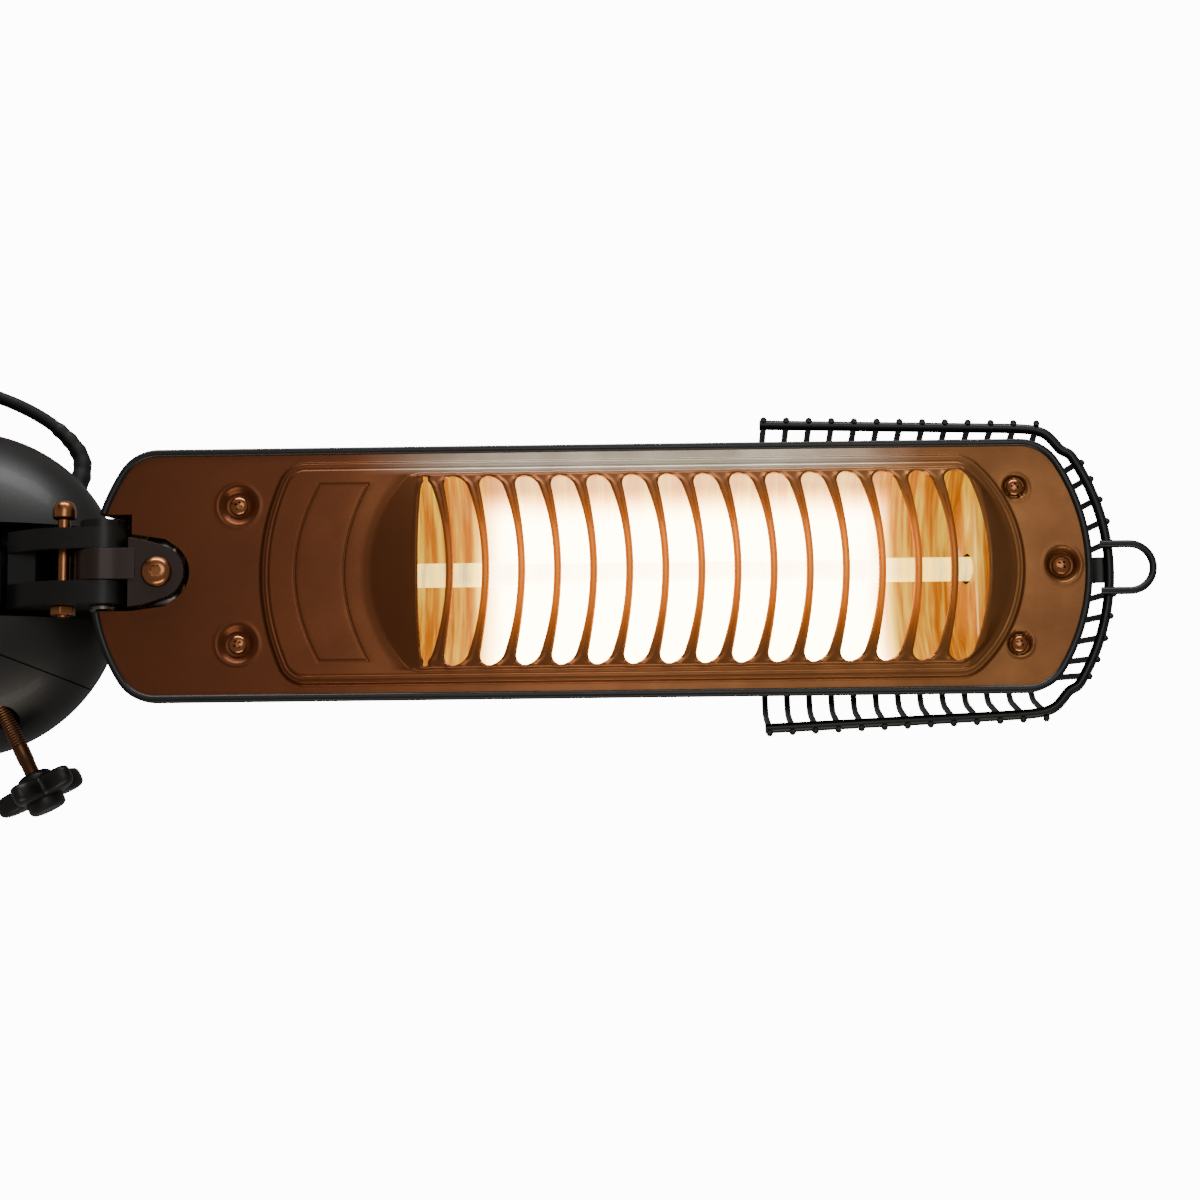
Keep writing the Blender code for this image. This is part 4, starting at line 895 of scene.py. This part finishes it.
def hub_shells():
    upper = turned("hub_top", dome_profile(1, COLLAR_R + 0.5), "hub", sides=144, closed=True)
    carve(upper, turned_data([(0, -12), (6.5, -12), (6.5, 14), (0, 14)], GLAND, GLAND_DIR, 32))
    wear(smoothed(rounded(upper, 0.5)), "hub")
    stand_for(upper, "hub", "hub_upper_shell")
    out = (math.cos(CLAMP_ANGLE), math.sin(CLAMP_ANGLE), 0)
    for index, node in enumerate(("hub_cover_a", "hub_cover_b", "hub_cover_c")):
        profile = dome_profile(-1, COLLAR_R + 0.5)
        shell = turned(node.replace("cover", "lower"), profile, "hub", sides=144, closed=True)
        carve(shell, prism_data(seam_plan(index), -80, 20), "INTERSECT")
        if index == 0:
            carve(shell, box_data((20, -28.2, -70), (90, 15.4, -13.0)))
        if index == 1:
            carve(shell, turned_data([(0, 40), (5.4, 40), (5.4, 90), (0, 90)], (0, 0, CLAMP_Z), out, 32))
        wear(smoothed(rounded(shell, 0.55)), "hub")
        stand_for(shell, "hub", node)


def clamp():
    out = Vector((math.cos(CLAMP_ANGLE), math.sin(CLAMP_ANGLE), 0))
    base = Vector((0, 0, CLAMP_Z))
    turn = frame_along(out)
    sides, pitch = 36, 1.25
    heights = list(np.arange(26.4, 82.0, pitch / 8)) + [83.0, 90.0, 90.6, 106.0]
    verts, rows = [], []
    for h in heights:
        rows.append(list(range(len(verts), len(verts) + sides)))
        for k in range(sides):
            a = 2 * math.pi * k / sides
            wave = abs(((h / pitch - k / sides) % 1.0) - 0.5) * 2
            r = 3.25 + 0.5 * wave if h < 82 else (3.7 if h < 90.3 else 3.4)
            r -= max(0.0, (27.6 - h)) * 0.7
            verts.append(base + turn @ Vector((r * math.cos(a), r * math.sin(a), h)))
    faces = [tuple(reversed(rows[0])), tuple(rows[-1])]
    for low, high in zip(rows, rows[1:]):
        faces += band(low, high)
    stand_for(add("clamp_thread", verts, faces, "bolt", 70.0), "clamp_screw", "clamp_screw")
    knob(base, out)


def knob(base, out):
    def lobes(a):
        return (16.8 + 4.6 * math.cos(5 * (a + 0.31))) / 16.8
    rings = [(0.0, 100.0), (12.0, 100.0), (14.6, 100.25), (15.8, 100.8), (16.5, 101.8), (16.8, 103.2),
             (16.8, 106.4), (16.4, 107.9), (15.4, 109.0), (13.8, 109.55), (11.0, 109.6), (0.0, 109.6)]
    obj = add("knob_star", *turned_data(rings, base, out, 150, wobble=lobes), "knob")
    hub = [(0.0, 96.4), (6.2, 96.4), (7.6, 97.2), (8.6, 99.0), (8.8, 112.6), (8.4, 113.8), (7.2, 114.6),
           (0.0, 114.6)]
    carve(obj, turned_data(hub, base, out, 64), "UNION")
    carve(obj, turned_data([(0, 90), (3.7, 90), (3.7, 106.3), (0, 106.3)], base, out, 32))
    ring = turned_data([(6.6, 113.9), (7.0, 113.9), (7.0, 116), (6.6, 116)], base, out, 64, closed=True)
    carve(obj, ring)
    wear(smoothed(rounded(obj, 0.3, 2)), "knob")
    stand_for(obj, "clamp_screw", "star_knob")


# ---------------------------------------------------------------- cord


def smooth_route(points, spacing):
    pts = [Vector(p) for p in points]
    pts = [pts[0] * 2 - pts[1]] + pts + [pts[-1] * 2 - pts[-2]]
    fine = []
    for a, b, c, d in zip(pts, pts[1:], pts[2:], pts[3:]):
        for k in range(24):
            t = k / 24
            fine.append(0.5 * ((2 * b) + (c - a) * t + (2 * a - 5 * b + 4 * c - d) * t * t
                               + (3 * b - a - 3 * c + d) * t ** 3))
    fine.append(pts[-2])
    lengths = np.cumsum([0.0] + [(q - p).length for p, q in zip(fine, fine[1:])])
    places = np.linspace(0, lengths[-1], max(2, round(lengths[-1] / spacing)) + 1)
    table = np.array([list(p) for p in fine])
    return [Vector([np.interp(s, lengths, table[:, k]) for k in range(3)]) for s in places]


def cord_path():
    """The free stretch, the coil's turns and the short end at the plug."""
    free = smooth_route(CORD_ROUTE, 2.2)
    cx, cy, cz = COIL_CENTRE
    turns = 7
    travel = 2 * math.pi * turns + ENTRY_ANGLE
    count = 64 * turns
    coil = []
    for k in range(count + 1):
        gone = travel * k / count
        phi = ENTRY_ANGLE - gone
        place = -math.radians(45.0) * gone / (2 * math.pi)
        r = COIL_MEAN_R + COIL_PLACES_R * math.cos(place)
        y = cy + COIL_PLACES_R * math.sin(place)
        coil.append(Vector((cx + r * math.cos(phi), y, cz + r * math.sin(phi))))
    end = coil[-1]
    tail = [Vector((end.x, end.y, cz + TAIL[2] * s)) for s in (0.25, 0.5, 0.75, 1.0)]
    return free + coil + tail


def mains_cord():
    path = cord_path()
    flex = wires("flex", [path], CORD_R, "rubber", 5)
    stand_for(flex, "hub", "mains_cord", "cord_coil")
    free = smooth_route(CORD_ROUTE, 2.2)[:17]
    radii = []
    for k in range(len(free)):
        t = k / (len(free) - 1)
        radii.append(4.9 - 1.5 * t + 0.28 * math.cos(2 * math.pi * k / 3))
    relief = add("strain_relief", *swept_data(free, radii, 32), "rubber")
    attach(relief, "hub")
    plug = plug_body(path[-1])


def plug_body(end):
    profile = [(0.0, 0.3), (3.9, 0.3)]
    for k in range(7):
        z = 0.8 + 2.2 * k
        r = 4.3 + 0.55 * k
        profile += [(r, z), (r + 0.5, z + 0.5), (r + 0.5, z + 1.1), (r, z + 1.6)]
    profile += [(9.4, 17.4), (13.2, 20.6), (16.4, 23.4), (17.9, 26.0), (18.4, 28.4), (18.4, 39.4),
                (18.1, 40.3), (17.4, 40.8), (0.0, 41.0)]
    obj = turned("plug_shell", profile, "rubber", (end.x, end.y, end.z), (0, 0, -1), 64)
    return stand_for(obj, "hub", "plug_body")


# ---------------------------------------------------------------- other CAD pieces


KEPT = {
    "hub_core": "hub", "hinge_ears": "ear", "ear_screw_a": "steel", "ear_screw_b": "steel",
    "hinge_pin": "steel",
    "friction_nut": "copper", "pole_liner": "rubber", "clamp_insert": "brass", "clamp_pad": "rubber",
    "cable_gland": "knob", "gland_nut": "knob", "hub_terminal_block": "ceramic", "shell_screw_a": "steel",
    "shell_screw_b": "steel", "shell_screw_c": "steel", "coil_tie": "tie", "plug_pin_a": "brass",
    "plug_pin_b": "brass", "panel_post_a": "steel", "panel_post_b": "steel", "panel_post_c": "steel",
    "panel_post_d": "steel", "reflector": "reflector", "reflector_end_left": "reflector",
    "reflector_end_right": "reflector", "quartz_tube": "tube", "ceramic_cap_left": "ceramic",
    "ceramic_cap_right": "ceramic", "lamp_clip_left": "steel", "lamp_clip_right": "steel",
    "lamp_terminal_block": "ceramic", "heat_shield": "steel", "guard_bracket": "wire", "guard_saddle": "wire",
    "arm_bracket": "arm", "bracket_plate": "steel",
}
SOFT_EDGES = {"hinge_ears": 0.8, "arm_bracket": 0.7, "guard_bracket": 0.5, "guard_saddle": 0.5,
              "hub_core": 0.5, "coil_tie": 0.4, "cable_gland": 0.3, "friction_nut": 0.3, "hinge_pin": 0.3}


def dress_cad():
    for node, key in KEPT.items():
        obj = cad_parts[node]
        wear(obj, key)
        custom = obj.data.attributes.get("custom_normal")
        if custom:
            obj.data.attributes.remove(custom)
        weld = obj.modifiers.new("weld", "WELD")
        weld.merge_threshold = 0.00001
        if node in SOFT_EDGES:
            rounded(obj, SOFT_EDGES[node])
        obj.data.shade_smooth()
        obj.data.set_sharp_from_angle(angle=math.radians(32))


# ---------------------------------------------------------------- stage


def camera():
    lens = bpy.data.cameras.new("view")
    lens.sensor_width = 36.0
    lens.lens = 73.0
    lens.clip_start = 0.01
    lens.clip_end = 60.0
    obj = bpy.data.objects.new("view", lens)
    bpy.context.scene.collection.objects.link(obj)
    tilt = Matrix.Rotation(0.134, 4, "X") @ Matrix.Rotation(0.0117, 4, "Y") @ Matrix.Rotation(-0.0123, 4, "Z")
    flip = Matrix.Diagonal((1.0, -1.0, -1.0, 1.0))
    obj.matrix_world = Matrix.Translation((0.3166, 0.1593, -1.136)) @ flip @ tilt
    bpy.context.scene.camera = obj


def area_light(name, place, target, size, power, colour=(1.0, 1.0, 1.0)):
    data = bpy.data.lights.new(name, "AREA")
    data.shape = "RECTANGLE"
    data.size, data.size_y = size
    data.energy = power
    data.color = colour
    obj = bpy.data.objects.new(name, data)
    bpy.context.scene.collection.objects.link(obj)
    obj.location = place
    obj.rotation_euler = (Vector(target) - Vector(place)).to_track_quat("-Z", "Y").to_euler()


def stage():
    world = bpy.data.worlds.new("studio")
    world.use_nodes = True
    bpy.context.scene.world = world
    tree = world.node_tree
    light = tree.nodes["Background"]
    seen = tree.nodes.new("ShaderNodeBackground")
    blend = tree.nodes.new("ShaderNodeMixShader")
    rays = tree.nodes.new("ShaderNodeLightPath")
    light.inputs["Color"].default_value = (1.0, 0.98, 0.95, 1.0)
    light.inputs["Strength"].default_value = 0.26
    seen.inputs["Color"].default_value = (1.0, 1.0, 1.0, 1.0)
    seen.inputs["Strength"].default_value = 13.0
    tree.links.new(rays.outputs["Is Camera Ray"], blend.inputs["Fac"])
    tree.links.new(light.outputs[0], blend.inputs[1])
    tree.links.new(seen.outputs[0], blend.inputs[2])
    tree.links.new(blend.outputs[0], tree.nodes["World Output"].inputs["Surface"])
    floor = add("floor", *box_data((-9000, -9000, -3320), (9000, 9000, -3300)))
    n = Nodes("floor_pale")
    n.link(n.mix(n.noise(3.0), (0.80, 0.79, 0.77), (0.84, 0.83, 0.81)), n.shader.inputs["Base Color"])
    n.shader.inputs["Roughness"].default_value = 0.8
    floor.data.materials.append(n.mat)
    area_light("upper", (0.25, -1.5, -0.55), (0.3, 0.0, -0.05), (1.6, 0.4), 20.0)
    area_light("lower", (0.45, 1.4, -0.8), (0.3, 0.0, -0.05), (1.4, 0.3), 8.0, (1.0, 0.9, 0.78))
    area_light("below", (0.5, -0.5, -2.2), (0.35, 0.0, -0.05), (1.0, 1.0), 7.0)


def main():
    dress_cad()
    front_panel()
    casing()
    panel_screws()
    lamp()
    guard()
    pull_ring()
    hinge_fixings()
    hub_shells()
    clamp()
    mains_cord()
    camera()
    stage()


main()
